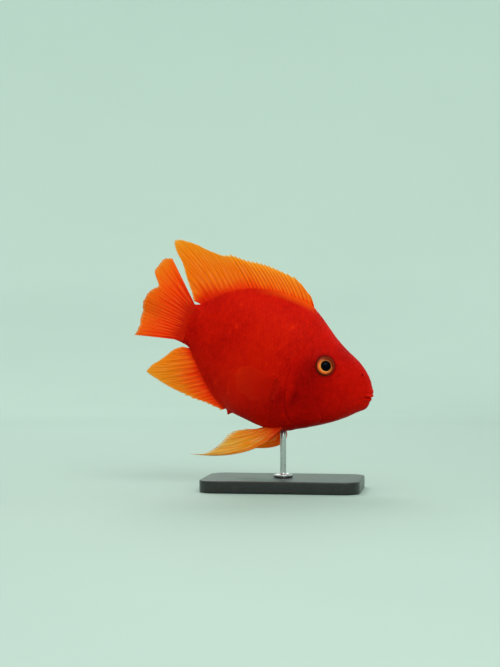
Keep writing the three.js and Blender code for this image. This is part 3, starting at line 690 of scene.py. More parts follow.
# scales: shingled plates in slanting rows, each set on the skin with its root sunk
scales = {
    "rows": (-24, 24), "start": 44, "end": 167, "length": 3.5, "rowPitch": 3.4, "overlap": 1.06,
    "across": 9, "along": 8,  # points each way
    "rear": 3.55, "front": 2.7, "roundness": 0.8, "rootWidth": 0.9, "jitter": 0.04, "ringPitch": 0.24,
    "slope": 0.046, "dome": 0.06, "sink": 0.55, "stand": 0.1,
    "frontSink": 0.3, "frontSinkFrom": (-0.45, -1),
    "shrink": [[40, 0.8], [56, 0.92], [70, 1], [112, 1], [140, 0.8], [168, 0.62]],
    "nape": [[18, 62], [24, 52], [34, 49], [44, 54]], "napeFrom": 19,  # v and u where they fade out ahead
    "fadeIn": [[8, 2], [26, 11]],  # v and how far behind their front line they reach full height
    "firstHeight": 0.55, "firstReach": 7, "faded": 0.2,
    "behindEdge": 0.6, "clearOfGill": 1.1, "underNape": 5, "underNapeFrom": (16, 24),
    "gillSink": 0.35, "gillSinkWidth": 1.4,
    # a few pale scales stand in for glints: painted highlights
    "toneSpread": 0.024, "paintedGlintShare": 0.01, "paintedGlintTone": 0.16, "paintedGlintFrom": 75, "hollowShade": 0.7,
    "lineTube": 0.2, "tubeWidth": 0.5, "tubeAlong": (0.25, 0.5, 0.8, 0.98),  # the lateral line
    "upperLine": [[64, 14], [80, 24], [100, 27], [118, 22], [134, 14]],
    "upperEnd": 134, "lowerStart": 128, "lineReach": 0.55,
    "edgeShape": (0.5, 0.8),  # how much the sides and the free end count towards the rim's tone
    "ringCentre": 0.2, "bakePatch": 0.003,
    "tableStart": 20, "tableSteps": (90, 241), "offMidline": 0.03,  # in radians
}
headScales = {
    **scales,
    "rows": (-26, 14), "start": 27, "end": 67, "length": 2.3, "rowPitch": 2.15, "across": 7, "along": 7,
    "rear": 2.3, "front": 1.8, "slope": 0.04, "dome": 0.05, "sink": 0.5, "stand": 0.06, "frontSink": 0.22,
    "shrink": [[20, 1], [70, 1]], "toneSpread": 0.02, "paintedGlintShare": 0, "lineTube": 0,
    "coverGap": 1.2, "edgeGap": 2.6, "coverHeights": (-44, 13),
    "cheekGap": 2.2, "eyeGap": 13, "cheekHeights": (-33, 4), "cheekFront": 29, "cheekSlope": 0.2,
}


# angle on the body at an arc length above the widest line, looked up in a table
class ArcTable:
    def __init__(self):
        stations, angles = scales["tableSteps"]
        self.u = np.linspace(scales["tableStart"], body["end"], stations)
        self.angle = np.linspace(0.0, np.pi, angles)
        points = bodyPoint(self.u[:, None], self.angle[None, :])
        steps = np.linalg.norm(np.diff(points, axis=1), axis=-1)
        total = np.concatenate([np.zeros((len(self.u), 1)), np.cumsum(steps, axis=1)], axis=1)
        middle = np.argmin(np.abs(self.angle - np.pi / 2))
        self.arc = total - total[:, middle:middle + 1]

    def angleFor(self, u, arc):
        row = (u - self.u[0]) / (self.u[1] - self.u[0])
        low = int(np.clip(np.floor(row), 0, len(self.u) - 2))
        share = row - low
        arcs = self.arc[low] * (1 - share) + self.arc[low + 1] * share
        if not arcs[0] < -arc < arcs[-1]:
            return None
        return float(np.interp(-arc, arcs, self.angle))


gillAt = through(sorted([height, along] for along, height in gill["edge"]))
napeAt = through(scales["nape"])


# u from which the body is scaled at a height: the gill opening below, the nape above
def scaledFrom(v):
    return np.where(v > scales["napeFrom"], napeAt(v), gillAt(v))


def isBodyScaled(u, v):
    return u > scaledFrom(v) + scales["behindEdge"]


# small scales lie on the gill cover, and on the cheek behind and below the eye
def isHeadScaled(u, v):
    fromCheekLine = distanceBehind(gill["cheekLine"], u, v)
    fromEdge = distanceBehind(gill["edge"], u, v)
    fromEye = np.hypot(u - eye["spot"][0], v - eye["spot"][1])
    coverLow, coverHigh = headScales["coverHeights"]
    onCover = fromCheekLine > headScales["coverGap"] and fromEdge < -headScales["edgeGap"]
    cheekLow, cheekHigh = headScales["cheekHeights"]
    onCheek = fromCheekLine < -headScales["cheekGap"] and fromEye > headScales["eyeGap"]
    behindSnout = u > headScales["cheekFront"] - headScales["cheekSlope"] * v
    return (onCover and coverLow < v < coverHigh) or (onCheek and cheekLow < v < cheekHigh and behindSnout)


# u, angle, size and row of every scale of a coat
def scalePlaces(coat, isScaled):
    table = ArcTable()
    sizeAt = through(coat["shrink"])
    places = []
    for row in range(*coat["rows"]):
        u = coat["start"] + 0.5 * coat["length"] * (row % 2)
        while u < coat["end"]:
            size = float(sizeAt(u))
            angle = table.angleFor(u, row * coat["rowPitch"] * size)
            onSide = angle is not None and coat["offMidline"] < angle < np.pi - coat["offMidline"]
            if onSide and isScaled(u, float(bodyPoint(u, angle)[2])):
                places.append((u, angle, size, row))
            u += coat["length"] * size
    return places


def makeScales(name, side, places, coat):
    u0, angle0, size, row = (np.array(column, float)[:, None] for column in zip(*places))
    angle0 = angle0 * side
    v0 = bodyPoint(u0, angle0)[..., 2]
    count = len(u0)
    jitter = rng.normal(0, coat["jitter"], (2, count, 1))
    near = 0.005
    around = bodyPoint(u0, angle0 + near) - bodyPoint(u0, angle0 - near)
    perTurn = np.linalg.norm(around, axis=-1) / (2 * near)

    # outline of one scale: q runs from side to side and t from its sunk root to its free round edge,
    # aside and p are the same in millimetres from the scale's middle
    grids = np.meshgrid(np.linspace(-1, 1, coat["across"]), np.linspace(0, 1, coat["along"]))
    q, t = (grid.ravel() for grid in grids)
    rear = coat["rear"] * np.sqrt(np.maximum(1 - coat["roundness"] * q ** 2, 0.05))
    p = -coat["front"] + (coat["front"] + rear) * t
    widening = np.minimum(1, coat["rootWidth"] + 2 * (1 - coat["rootWidth"]) * t)
    aside = q * coat["rowPitch"] * coat["overlap"] * widening
    u = u0 + (p + jitter[0]) * size
    angle = angle0 + aside * size / perTurn + jitter[1] / perTurn
    v = bodyPoint(u, angle)[..., 2]
    underNape = coat["underNape"] * smoothStep(*coat["underNapeFrom"], v)
    frontLine = scaledFrom(v) + coat["clearOfGill"] - underNape
    u = np.maximum(u, frontLine)

    # height over the skin: sloped and domed, with the tube of the lateral line on one row
    height = coat["slope"] * p - coat["dome"] * q ** 2
    height = height - coat["frontSink"] * smoothStep(*coat["frontSinkFrom"], p / coat["front"])
    fromUpperLine = np.abs(v0 - through(coat["upperLine"])(u0))
    onLine = (fromUpperLine < coat["lineReach"] * coat["rowPitch"]) & (u0 < coat["upperEnd"])
    onLine |= (row == 0) & (u0 > coat["lowerStart"])
    tube = coat["lineTube"] * bell(aside, coat["tubeWidth"]) * within(coat["tubeAlong"], t)
    height = height * size + tube * onLine
    fromFront = u0 - scaledFrom(v0)
    settled = smoothStep(0, through(coat["fadeIn"])(v0), fromFront)
    rising = smoothStep(0, coat["firstReach"], fromFront)
    settled = settled * (coat["firstHeight"] + (1 - coat["firstHeight"]) * rising)
    height = height * settled - coat["faded"] * (1 - settled)
    height = height - coat["gillSink"] * smoothStep(coat["gillSinkWidth"], 0, u - frontLine)
    lift, paintedShade = relief(u, angle)
    height = height + lift - body["coatDepth"] + coat["stand"]
    top = bodyPoint(u, angle) + bodyOutward(u, angle) * height[..., None]
    under = bodyPoint(u0, angle0) - bodyOutward(u0, angle0) * coat["sink"]
    points = np.concatenate([top, under], axis=1).reshape(-1, 3)

    # faces of one scale, with its underside drawn to one point, then of all
    rim = gridRim(coat["along"], coat["across"])
    middle = np.full(len(rim), len(q))
    underside = np.stack([np.roll(rim, -1), rim, middle, middle], -1)
    faces = np.concatenate([gridFaces(coat["along"], coat["across"]), underside])
    perScale = len(q) + 1
    faces = (faces + (np.arange(count) * perScale)[:, None, None]).reshape(-1, 4)

    # random tone for each scale, and the pale scales that stand in for glints: painted highlights
    spread = rng.normal(0, coat["toneSpread"], count)
    spread += coat["paintedGlintTone"] * (rng.random(count) < coat["paintedGlintShare"]) * (u0[:, 0] > coat["paintedGlintFrom"])
    # the shade painted into hollows darkens the scales too
    shade = coat["hollowShade"] * np.concatenate([paintedShade, paintedShade[:, :1]], axis=1)
    sides, end = coat["edgeShape"]
    edge = np.clip(np.sqrt(q ** 2 * sides + t ** 2 * end), 0, 1)
    growth = np.hypot(aside, p + coat["ringCentre"] * coat["front"]) / coat["ringPitch"]
    piece = makePiece(name, inPlace(points), faces, {
        "tone": (toneAt(u0, v0) * (1 - shade)).ravel(), **tintsAt(points),
        "scaleTone": np.repeat(spread, perScale),
        "scaleEdge": np.tile(np.append(edge, 0), count),
        "growth": np.tile(np.append(growth, 0), count),
    }, flatTriangles=True)
    patch = coat["bakePatch"] * np.stack([np.append(t, 0.5) - 0.5, np.append(q, 0) / 2], -1)
    setUv(piece, (onMap(u0, angle0) + patch).reshape(-1, 2))
    return piece


dress(makeSkin(), bodyFinish("red_skin", onScales=False), "skin",
      "head", "torso", "tail_stalk", "gill_cover_left", "gill_cover_right")
scaleFinish = bodyFinish("red_scales", onScales=True)
coats = (("scales", scales, isBodyScaled), ("head_scales", headScales, isHeadScaled))
for coatName, coat, isScaled in coats:
    places = scalePlaces(coat, isScaled)
    print(coatName, "have", len(places), "plates on each side")
    for label, side in (("left", 1), ("right", -1)):
        dress(makeScales(coatName + "_" + label, side, places, coat), scaleFinish, "skin")


# what most fins share. Their rays are counted from front to back, or from below to above in the tail,
# and t runs along the root in that order, s from the root to the margin.
finBasics = {
    "rowEase": 0.92, "bow": 0, "ripple": 0.12,
    "sway": (0, 1, 0, 0, 0),  # reach, power over s, waves over t, their start and twist over s
    # margin: spine points stand out, the web dips behind each, soft rays fray a little
    "spinesEnd": 0, "spineReach": 0, "pointWidth": 0.13, "webDip": 0.5, "dipWidth": 0.26, "softDip": 0.35,
    "frayShare": 0.35, "frayWaves": 4, "cornerCut": 0, "cornerWidth": 0.06,
    # rays: one ridge each, soft ones split twice towards the margin; widths are shares of their spacing
    "forkSpread": 0.25, "forkLength": 0.5, "rayTaper": 0.62, "taperFrom": (0.2, 0.9), "spineTaper": 0.45,
    # the dark line beside each spine is partly painted shadow
    "spineShadowLine": (0.27, 0.1), "spineLineTo": (1, 0.7), "rayLineFrom": (0.05, 0.2), "sunkInFlesh": 0.3,
    # thickness in millimetres
    "webThick": 0.6, "webTaper": 0.72, "fleshyEnd": 0.3, "fleshyShare": 0.6,
    # colours run over colourReach from the body, and a share of it is drawn back at the redder places
    "colourReach": 50, "redder": [], "redderFade": 0.7, "streaks": 0.06, "streaksPerRay": 1.6,
    "streakLength": 36, "driftScale": 0.9, "driftFrom": (0.0, 0.12), "streakScale": 2.6,
    "paleStreaks": 0.14, "clearOfRoot": (0.03, 0.16),
    # how solid the web is, and its rays, where 1 lets no light through
    "webBody": 0.97, "rayBody": 1.0,
    "jointPitch": 0.8, "joints": (0.12, 0.0002), "grain": (0.12, 0.0002), "grainScale": 1800,
    "roughness": 0.46, "rayRougher": 0.1, "shine": 0.1, "glint": (1.0, 0.7, 0.4, 1),
    "flesh": 0.4, "fleshRadius": (1.0, 0.45, 0.1), "fleshScale": 0.0025, "slot": "fin",
}


# how far each ray ends beyond the fin's margin
def marginReach(fin, t, off, isSpiny):
    nearest = np.round(t * (fin["rays"] - 1)).astype(int)
    draw = rng.normal(0, 1, fin["rays"] + 1)[nearest]
    point = bell(off, fin["pointWidth"])
    dip = fin["webDip"] * (1 - bell(off, fin["dipWidth"]))
    fray = fin["frayShare"] * (draw + np.cos(off * 2 * np.pi * fin["frayWaves"]) * fin["fray"])
    reach = np.where(isSpiny, fin["spineReach"] * point - dip, fray * fin["fray"] - fin["softDip"] * dip)
    return reach - fin["cornerCut"] * smoothStep(1 - fin["cornerWidth"], 1, t) ** 2


def rayRidges(fin, s, off, isSpiny):
    first = fin["forkSpread"] * smoothStep(fin["forkAt"], fin["forkAt"] + fin["forkLength"], s) * ~isSpiny
    second = fin["forkSpread"] / 2 * smoothStep(fin["forkAt"] + fin["forkLength"] / 2, 1, s) * ~isSpiny
    softWidth = 1 - fin["rayTaper"] * smoothStep(*fin["taperFrom"], s)
    width = fin["rayWidth"] * np.where(isSpiny, 1 - fin["spineTaper"] * s, softWidth)
    forks = [(way, again) for way in (-1, 1) for again in (-1, 1)]
    return np.max([bell(off - way * first - again * second, width) for way, again in forks], axis=0)


# a fin: a closed sheet, thick at the root, with its rays raised on both faces. lines(t) gives each
# ray's root, bow and tip for t from 0 to 1 along the root.
def makeFin(name, node, lines, fin):
    gaps = fin["rays"] - 1
    t = np.linspace(0, 1, gaps * fin["perRay"] + 1)
    root, bow, tip = lines(t)
    length = (np.linalg.norm(bow - root, axis=-1) + np.linalg.norm(tip - bow, axis=-1))[:, None]
    t = t[:, None]
    s = np.linspace(0, 1, fin["rows"]) ** fin["rowEase"]
    fromFirst = t * gaps
    off = fromFirst - np.round(fromFirst)
    isSpiny = t < fin["spinesEnd"]

    # middle of the sheet: every ray is bent over its bow, and the whole sways and ripples
    share = s * (1 + marginReach(fin, t, off, isSpiny) / length * s ** 3)
    weights = (1 - share) ** 2, 2 * share * (1 - share), share ** 2
    middle = sum(weight[..., None] * line[:, None] for weight, line in zip(weights, (root, bow, tip)))
    reach, power, waves, start, twist = fin["sway"]
    middle[..., 1] += reach * s ** power * np.sin(waves * t + start + twist * s)
    middle[..., 1] += fin["ripple"] * np.sin(off * 2 * np.pi) * s

    ridge = rayRidges(fin, s, off, isSpiny)
    fleshy = np.maximum(0, 1 - s / fin["fleshyEnd"]) ** 2
    thick = fin["webThick"] * (1 - fin["webTaper"] * s ** 1.5)
    thick = thick + (fin["rootThick"] - fin["webThick"]) * fleshy
    raised = np.where(isSpiny, fin["rayThick"], fin["softThick"]) * (1 - fin["rayTaper"] * s)
    thick = thick + raised * ridge * (1 - fin["fleshyShare"] * fleshy)
    out = unit(np.cross(np.gradient(middle, axis=0), np.gradient(middle, axis=1)))
    step = out * thick[..., None] / 2
    points = np.stack([middle + step, middle - step]).reshape(-1, 3)

    rows, columns = ridge.shape
    count = rows * columns
    upper, rim = gridFaces(rows, columns), gridRim(rows, columns)
    after = np.roll(rim, -1)
    edge = np.stack([after, rim, rim + count, after + count], -1)

    distance = share * length
    outward = (distance - fin["rootDepth"]) / fin["colourReach"]
    for place, width, amount in fin["redder"]:
        outward = outward * (1 - amount * bell(t - place, width) * (1 - fin["redderFade"] * s ** 2))
    # dark lines beside each spine and between the soft rays, partly the fin's own colour and partly painted
    # shadow
    lineAt, lineWidth = fin["spineShadowLine"]
    spineShadowLine = bell(off - lineAt, lineWidth) * smoothStep(*fin["spineLineTo"], s)
    rayLine = fin["rayLine"] * (1 - ridge) ** 2 * smoothStep(*fin["rayLineFrom"], s)
    fan = np.broadcast_arrays(fromFirst * fin["streaksPerRay"], distance / fin["streakLength"], 0.0)
    values = {
        "out": outward, "toEdge": (1 - s) * length, "ray": ridge * (1 - fin["sunkInFlesh"] * fleshy),
        "line": np.where(isSpiny, spineShadowLine, rayLine), "along": np.broadcast_to(t, ridge.shape),
        "joints": distance / fin["jointPitch"], "fan": np.stack(fan, -1),
    }
    onBoth = {key: np.stack([value, value]).reshape(2 * count, *value.shape[2:])
              for key, value in values.items()}
    faces = np.concatenate([upper, upper[:, ::-1] + count, edge])
    piece = makePiece(name, inPlace(points), faces, onBoth)
    dress(piece, finFinish(name + "_finish", fin), fin["slot"], node)


# from the body's red at the root to the margin, lighter on the rays and darker beside them, partly
# the fin's own colours and partly painted highlight on the rays and painted shadow beside them
def finFinish(name, fin):
    finish = Finish(name)
    outward, ray = finish.attribute("out"), finish.attribute("ray")
    fan = finish.attribute("fan", "Vector")
    drift = finish.uneven(finish.noise(fin["driftScale"], 3, place=fan), -fin["streaks"], fin["streaks"])
    outward = finish.plus(outward, finish.times(drift, finish.between(outward, *fin["driftFrom"])))
    colour = finish.ramp(outward, fin["colours"])
    if "farColours" in fin:
        toFar = finish.between(finish.attribute("along"), *fin["farFrom"], smooth=True)
        colour = finish.mix(toFar, colour, finish.ramp(outward, fin["farColours"]))
    nearEdge = finish.between(finish.attribute("toEdge"), 0.0, fin["marginWidth"], 1.0, 0.0, smooth=True)
    colour = finish.mix(finish.times(nearEdge, fin["marginShare"]), colour, srgb(*fin["margin"]))
    # dark lines, partly the fin's own and partly painted shadow
    onLine = finish.times(finish.attribute("line"), fin["lineShare"])
    colour = finish.mix(onLine, colour, srgb(*fin["lineColour"]))
    offRoot = finish.between(outward, *fin["clearOfRoot"], smooth=True)
    # lighter rays, partly their own colour and partly a painted highlight along each ridge
    onRay = finish.times(finish.times(ray, fin["rayShare"]), offRoot)
    colour = finish.mix(onRay, colour, srgb(*fin["rayTintAndHighlight"]))
    streaks = finish.noise(fin["streakScale"], 2, place=fan)
    pale = finish.times(finish.between(streaks, 0.5, 0.75, 0.0, fin["paleStreaks"]), offRoot)
    colour = finish.mix(pale, colour, srgb(*fin["margin"]))
    # the web lets light through between its rays, most of it at the margin
    clear = finish.plus(finish.times(nearEdge, 1 - fin["edgeBody"]), 1 - fin["webBody"])
    offRays = finish.math("SUBTRACT", 1.0, finish.times(ray, fin["rayBody"]))
    alpha = finish.math("SUBTRACT", 1.0, finish.times(clear, finish.times(offRays, offRoot)))
    joints = finish.times(finish.waves(finish.attribute("joints")), ray)
    jointed = finish.bump(joints, *fin["joints"])
    normal = finish.bump(finish.noise(fin["grainScale"], 3), *fin["grain"], below=jointed)
    roughness = finish.between(ray, 0.0, 1.0, fin["roughness"], fin["roughness"] + fin["rayRougher"])
    return finish.set(
        colour=colour, roughness=roughness, normal=normal, alpha=alpha,
        shine=fin["shine"], glint=fin["glint"],
        flesh=fin["flesh"], fleshRadius=fin["fleshRadius"], fleshScale=fin["fleshScale"],
    )


# bow of a ray that leaves its root more steeply than its tip lies
def bowed(root, tip, amount):
    chord = tip - root
    across = np.stack([-chord[:, 2], 0 * chord[:, 0], chord[:, 0]], -1) * amount
    return root + chord / 2 + across


dorsal = {
    **finBasics,
    "rayLines": [  # u at the root, u at the tip, v at the tip
        [68.4, 76.5, 54.4], [72, 86, 60], [76, 94.5, 63.6], [82, 104.5, 64.3], [92, 116.5, 64.8],
        [102, 127, 64], [112, 138, 62.3], [121, 149, 62.1], [128, 158, 59], [133.5, 168, 58.9],
        [138.5, 180, 59.9], [142.5, 190, 59.3], [145.5, 197, 56.2], [148.3, 193, 49], [150.6, 186.1, 43],
        [152.6, 177.6, 32.3], [154.2, 168.6, 21.2], [155.8, 164.4, 15.6],
    ],
    "rays": 28, "perRay": 18, "rows": 58, "spinesEnd": 0.62, "spineReach": 1.1, "webDip": 0.9,
    "fray": 0.6, "forkAt": 0.15, "rayWidth": 0.15, "rayThick": 1.1, "softThick": 0.7, "rootThick": 4.4,
    "rootDepth": 2.4, "rootEase": 0.94, "bow": 0.09, "sway": (1.2, 2, 7, 0, 0),
    "colours": [
        (0.0, (226, 38, 0)), (0.03, (232, 54, 0)), (0.07, (240, 74, 0)), (0.14, (244, 106, 4)),
        (0.36, (244, 120, 10)), (0.5, (246, 134, 20)), (0.8, (246, 148, 32)),
    ],
    "farColours": [
        (0.0, (212, 20, 0)), (0.04, (224, 40, 0)), (0.1, (238, 76, 0)), (0.2, (246, 108, 4)),
        (0.55, (246, 122, 4)), (0.9, (246, 142, 20)),
    ],
    "farFrom": (0.66, 0.86), "redder": [(0.62, 0.16, 0.5), (0.95, 0.1, 0.65)],
    "margin": (250, 206, 124), "marginShare": 0.75, "marginWidth": 2.4, "edgeBody": 0.62,
    "rayTintAndHighlight": (252, 126, 18), "rayShare": 0.35, "lineColour": (168, 22, 0), "lineShare": 0.75,
    "rayLine": 0.3, "streaks": 0.05,
}
anal = {
    **finBasics,
    "rayLines": [
        [105.8, 111, -59.8], [109, 119, -59.2], [114, 127, -58.8], [119, 134.5, -59.2],
        [124.5, 146, -58.6], [130, 157, -57.6], [135.5, 169, -55.4], [139.5, 180, -52],
        [143, 178, -46.2], [145.7, 172.2, -37.9], [147.5, 168, -31], [149.3, 164.5, -26.2],
        [151.3, 159.4, -22.6],
    ],
    "rays": 17, "perRay": 22, "rows": 52, "spinesEnd": 0.42, "spineReach": 0.9, "webDip": 0.7,
    "fray": 0.55, "forkAt": 0.3, "rayWidth": 0.16, "rayThick": 1.15, "softThick": 0.8, "rootThick": 4.4,
    "rootDepth": 2.4, "rootEase": 1, "bow": -0.04, "sway": (-1, 2, 5, 0, 0),
    "colours": [
        (0.0, (204, 18, 0)), (0.05, (226, 32, 0)), (0.13, (238, 56, 0)), (0.27, (234, 86, 0)),
        (0.42, (222, 122, 10)), (0.8, (222, 150, 26)),
    ],
    "farColours": [
        (0.0, (204, 18, 0)), (0.04, (230, 44, 0)), (0.1, (242, 84, 2)), (0.22, (240, 114, 6)),
        (0.45, (238, 132, 12)), (0.8, (240, 148, 34)),
    ],
    "farFrom": (0.62, 0.9),
    "margin": (250, 196, 108), "marginShare": 0.65, "marginWidth": 2.2, "edgeBody": 0.6,
    "rayTintAndHighlight": (244, 108, 18), "rayShare": 0.4, "lineColour": (184, 34, 0), "lineShare": 0.6,
    "rayLine": 0.4,
}
tail = {
    **finBasics,
    "rayLines": [  # v at the root, u at the tip, v at the tip
        [-18.6, 200.6, -27.4], [-14, 199, -19], [-10.5, 200.2, -12.5], [-7.5, 200.2, -7],
        [-4.5, 202.4, -3], [-1.5, 203.2, 1.7], [1.5, 203, 7.5], [3.6, 199, 13.4], [5.2, 196.2, 17.2],
        [6.8, 200.6, 22.5], [8.6, 203.6, 27.6], [10.2, 201.6, 34.6], [11.6, 199, 40.4], [12.6, 195, 43.4],
    ],
    "rays": 18, "perRay": 24, "rows": 66, "fray": 0.7, "cornerCut": 1.8,
    "ripple": 0.14, "forkAt": 0.25, "rayWidth": 0.17, "rayThick": 1.1, "softThick": 0.9,
    "rootThick": 6.6, "fleshyEnd": 0.4, "rootDepth": 4.0, "rootU": 161.0, "rootSpread": 0.94,
    "rootHeight": -0.2, "sway": (2.2, 2, 9, -1.5, 0),
    "colours": [
        (0.0, (196, 20, 0)), (0.08, (212, 30, 0)), (0.2, (234, 42, 0)), (0.38, (240, 60, 0)),
        (0.56, (238, 84, 2)), (0.8, (238, 108, 8)),
    ],
    "farColours": [
        (0.0, (196, 20, 0)), (0.1, (214, 30, 0)), (0.3, (236, 44, 0)), (0.5, (244, 72, 0)),
        (0.66, (246, 96, 4)), (0.85, (240, 126, 14)),
    ],
    "farFrom": (0.52, 0.72), "redder": [(0.05, 0.12, 0.25), (0.42, 0.1, -0.2)],
    "margin": (240, 160, 66), "marginShare": 0.5, "marginWidth": 3.0, "edgeBody": 0.62,
    "rayTintAndHighlight": (252, 96, 18), "rayShare": 0.36, "lineColour": (186, 28, 0), "lineShare": 0.6,
    "rayLine": 0.35, "streaks": 0.1, "streaksPerRay": 1.3, "paleStreaks": 0.12,
}


# first and last place along the root, and the functions that give each place its tip
def rayTips(fin):
    places, tipU, tipV = np.array(fin["rayLines"]).T
    return places[0], places[-1], through(list(zip(places, tipU))), through(list(zip(places, tipV)))


def unpairedLines(fin, height, sink):
    first, last, tipU, tipV = rayTips(fin)

    def lines(t):
        u = first + (last - first) * t ** fin["rootEase"]
        root = np.stack([u, 0 * u, height(u) + sink], -1)
        tip = np.stack([tipU(u), 0 * u, tipV(u)], -1)
        return root, bowed(root, tip, fin["bow"]), tip

    return lines


def tailLines(t):
    first, last, tipU, tipV = rayTips(tail)
    v = first + (last - first) * t
    root = np.stack([0 * v + tail["rootU"], 0 * v, v * tail["rootSpread"] + tail["rootHeight"]], -1)
    tip = np.stack([tipU(v), 0 * v, tipV(v)], -1)
    return root, (root + tip) / 2, tip


makeFin("fin_dorsal", "dorsal_fin", unpairedLines(dorsal, backHeight, -dorsal["rootDepth"]), dorsal)
makeFin("fin_anal", "anal_fin", unpairedLines(anal, bellyHeight, anal["rootDepth"]), anal)
makeFin("fin_tail", "tail_fin", tailLines, tail)

# paired fins: each ray as [u, y outwards, v] at its root, bow and tip
pelvic = {
    **finBasics,
    "right": [
        [[57.5, 9.5, -53.5], [69.8, 15, -90], [122.5, 19, -100.8]],
        [[61, 8.5, -54.5], [76, 14, -84], [110, 18.5, -96]],
        [[64, 7, -55], [82, 12, -76], [101.6, 16, -85.5]],
        [[67, 5.5, -56], [82, 9, -69], [96, 12.5, -73]],
        [[69.5, 4.5, -57], [76, 6, -63.5], [86, 8, -65.8]],
    ],
    "left": [
        [[57.5, 9.5, -53.5], [39.5, 15, -74.5], [103, 21, -88.5]],
        [[61, 8.5, -54.5], [56, 14, -76], [97, 20, -85.5]],
        [[64, 7, -55], [70, 12, -72], [92, 17, -79.5]],
        [[67, 5.5, -56], [76, 9, -67], [88, 13, -72.5]],
        [[69.5, 4.5, -57], [75, 6, -63.5], [83, 8.5, -66.5]],
    ],
    "rays": 7, "perRay": 36, "rows": 60, "spinesEnd": 0.09, "webDip": 0.8, "fray": 0.9,
    "ripple": 0.25, "forkAt": 0.2, "rayWidth": 0.13, "rayThick": 1.0, "softThick": 0.8, "webThick": 0.55,
    "rootThick": 3.4, "fleshyEnd": 0.22, "rootDepth": 1.5, "sway": (0.35, 1, 14, 0, 3),
    "colours": [
        (0.0, (190, 16, 0)), (0.1, (214, 44, 0)), (0.22, (232, 88, 0)), (0.42, (236, 132, 8)),
        (0.8, (238, 162, 34)), (1.0, (232, 172, 70)),
    ],
    "farColours": [
        (0.0, (196, 22, 0)), (0.07, (220, 66, 0)), (0.2, (226, 98, 0)), (0.46, (232, 144, 18)),
        (0.8, (230, 180, 72)),
    ],
    "farFrom": (0.12, 0.5), "redder": [(0.0, 0.2, 0.55), (0.38, 0.06, 0.3), (0.62, 0.05, 0.3)],
    "margin": (234, 216, 138), "marginShare": 0.62, "marginWidth": 7.0, "edgeBody": 0.3,
    "rayTintAndHighlight": (236, 96, 0), "rayShare": 0.5, "lineColour": (186, 104, 4), "lineShare": 0.4,
    "rayLine": 0.6, "streaks": 0.14, "streaksPerRay": 2.4, "paleStreaks": 0.4, "webBody": 0.84,
    "rayBody": 0.9, "flesh": 0.3,
}
# the far pelvic fin, painted brighter than the near one: painted light that makes up for the shade it lies
# in
farPelvic = {
    **pelvic,
    "colours": [
        (0.0, (216, 26, 0)), (0.12, (250, 64, 0)), (0.35, (255, 112, 2)), (0.6, (255, 140, 10)),
        (0.85, (250, 164, 30)), (1.0, (244, 180, 60)),
    ],
    "farFrom": (0.5, 1.2), "webBody": 0.97, "flesh": 0.6,
}
pectoral = {
    **finBasics,
    "lines": [
        [[70, 22.4, -18.5], [81, 33, -15.5], [100.5, 27, -14.5]],
        [[70.2, 22.2, -21.5], [82.5, 33.5, -20], [108.5, 27.5, -19.5]],
        [[70.4, 21.8, -24.5], [82.5, 33.5, -25], [110.5, 27.5, -25.5]],
        [[70.4, 21.2, -27.5], [81.5, 33, -30], [107.5, 27, -32]],
        [[70.2, 20.4, -30.2], [79.5, 32, -34.5], [100.5, 26.5, -38]],
        [[69.8, 19.6, -32.6], [76.5, 30, -37.5], [90.5, 25.5, -41]],
    ],
    "rays": 14, "perRay": 20, "rows": 46, "fray": 0.5,
    "ripple": 0.1, "forkAt": 0.3, "rayWidth": 0.13, "rayThick": 0.6, "softThick": 0.6, "webThick": 0.4,
    "rootThick": 4.4, "rootDepth": 1.5, "sway": (0.3, 1, 9, 0, 0),
    "colours": [(0.0, (176, 6, 0)), (0.12, (190, 8, 0)), (0.4, (206, 22, 0)), (0.8, (218, 48, 2))],
    "margin": (216, 60, 10), "marginShare": 0.3, "marginWidth": 4.0, "edgeBody": 0.95,
    "rayTintAndHighlight": (206, 22, 0), "rayShare": 0.5, "lineColour": (160, 6, 0), "lineShare": 0.3,
    "rayLine": 0.3, "paleStreaks": 0.06, "webBody": 0.05, "rayBody": 0.17,
    "roughness": 0.4, "flesh": 0.0, "slot": "pale_fin",
}


# smooth curve through a few points, read at t from 0 to 1
def splineThrough(points, t):
    last = len(points) - 1
    longer = np.vstack([2 * points[0] - points[1], points, 2 * points[last] - points[last - 1]])
    at = t * last
    i = np.clip(np.floor(at).astype(int), 0, last - 1)
    w = (at - i)[:, None]
    p0, p1, p2, p3 = (longer[i + ahead] for ahead in range(4))
    return 0.5 * (2 * p1 + (p2 - p0) * w + (2 * p0 - 5 * p1 + 4 * p2 - p3) * w ** 2
                  + (3 * p1 - p0 - 3 * p2 + p3) * w ** 3)


def pairedLines(rays, side):
    rays = np.array(rays) * [1, side, 1]
    return lambda t: [splineThrough(rays[:, part], t) for part in range(3)]


makeFin("fin_pelvic_right", "pelvic_fin_right", pairedLines(pelvic["right"], -1), pelvic)
makeFin("fin_pelvic_left", "pelvic_fin_left", pairedLines(pelvic["left"], 1), farPelvic)
makeFin("fin_pectoral_right", "pectoral_fin_right", pairedLines(pectoral["lines"], -1), pectoral)
makeFin("fin_pectoral_left", "pectoral_fin_left", pairedLines(pectoral["lines"], 1), pectoral)


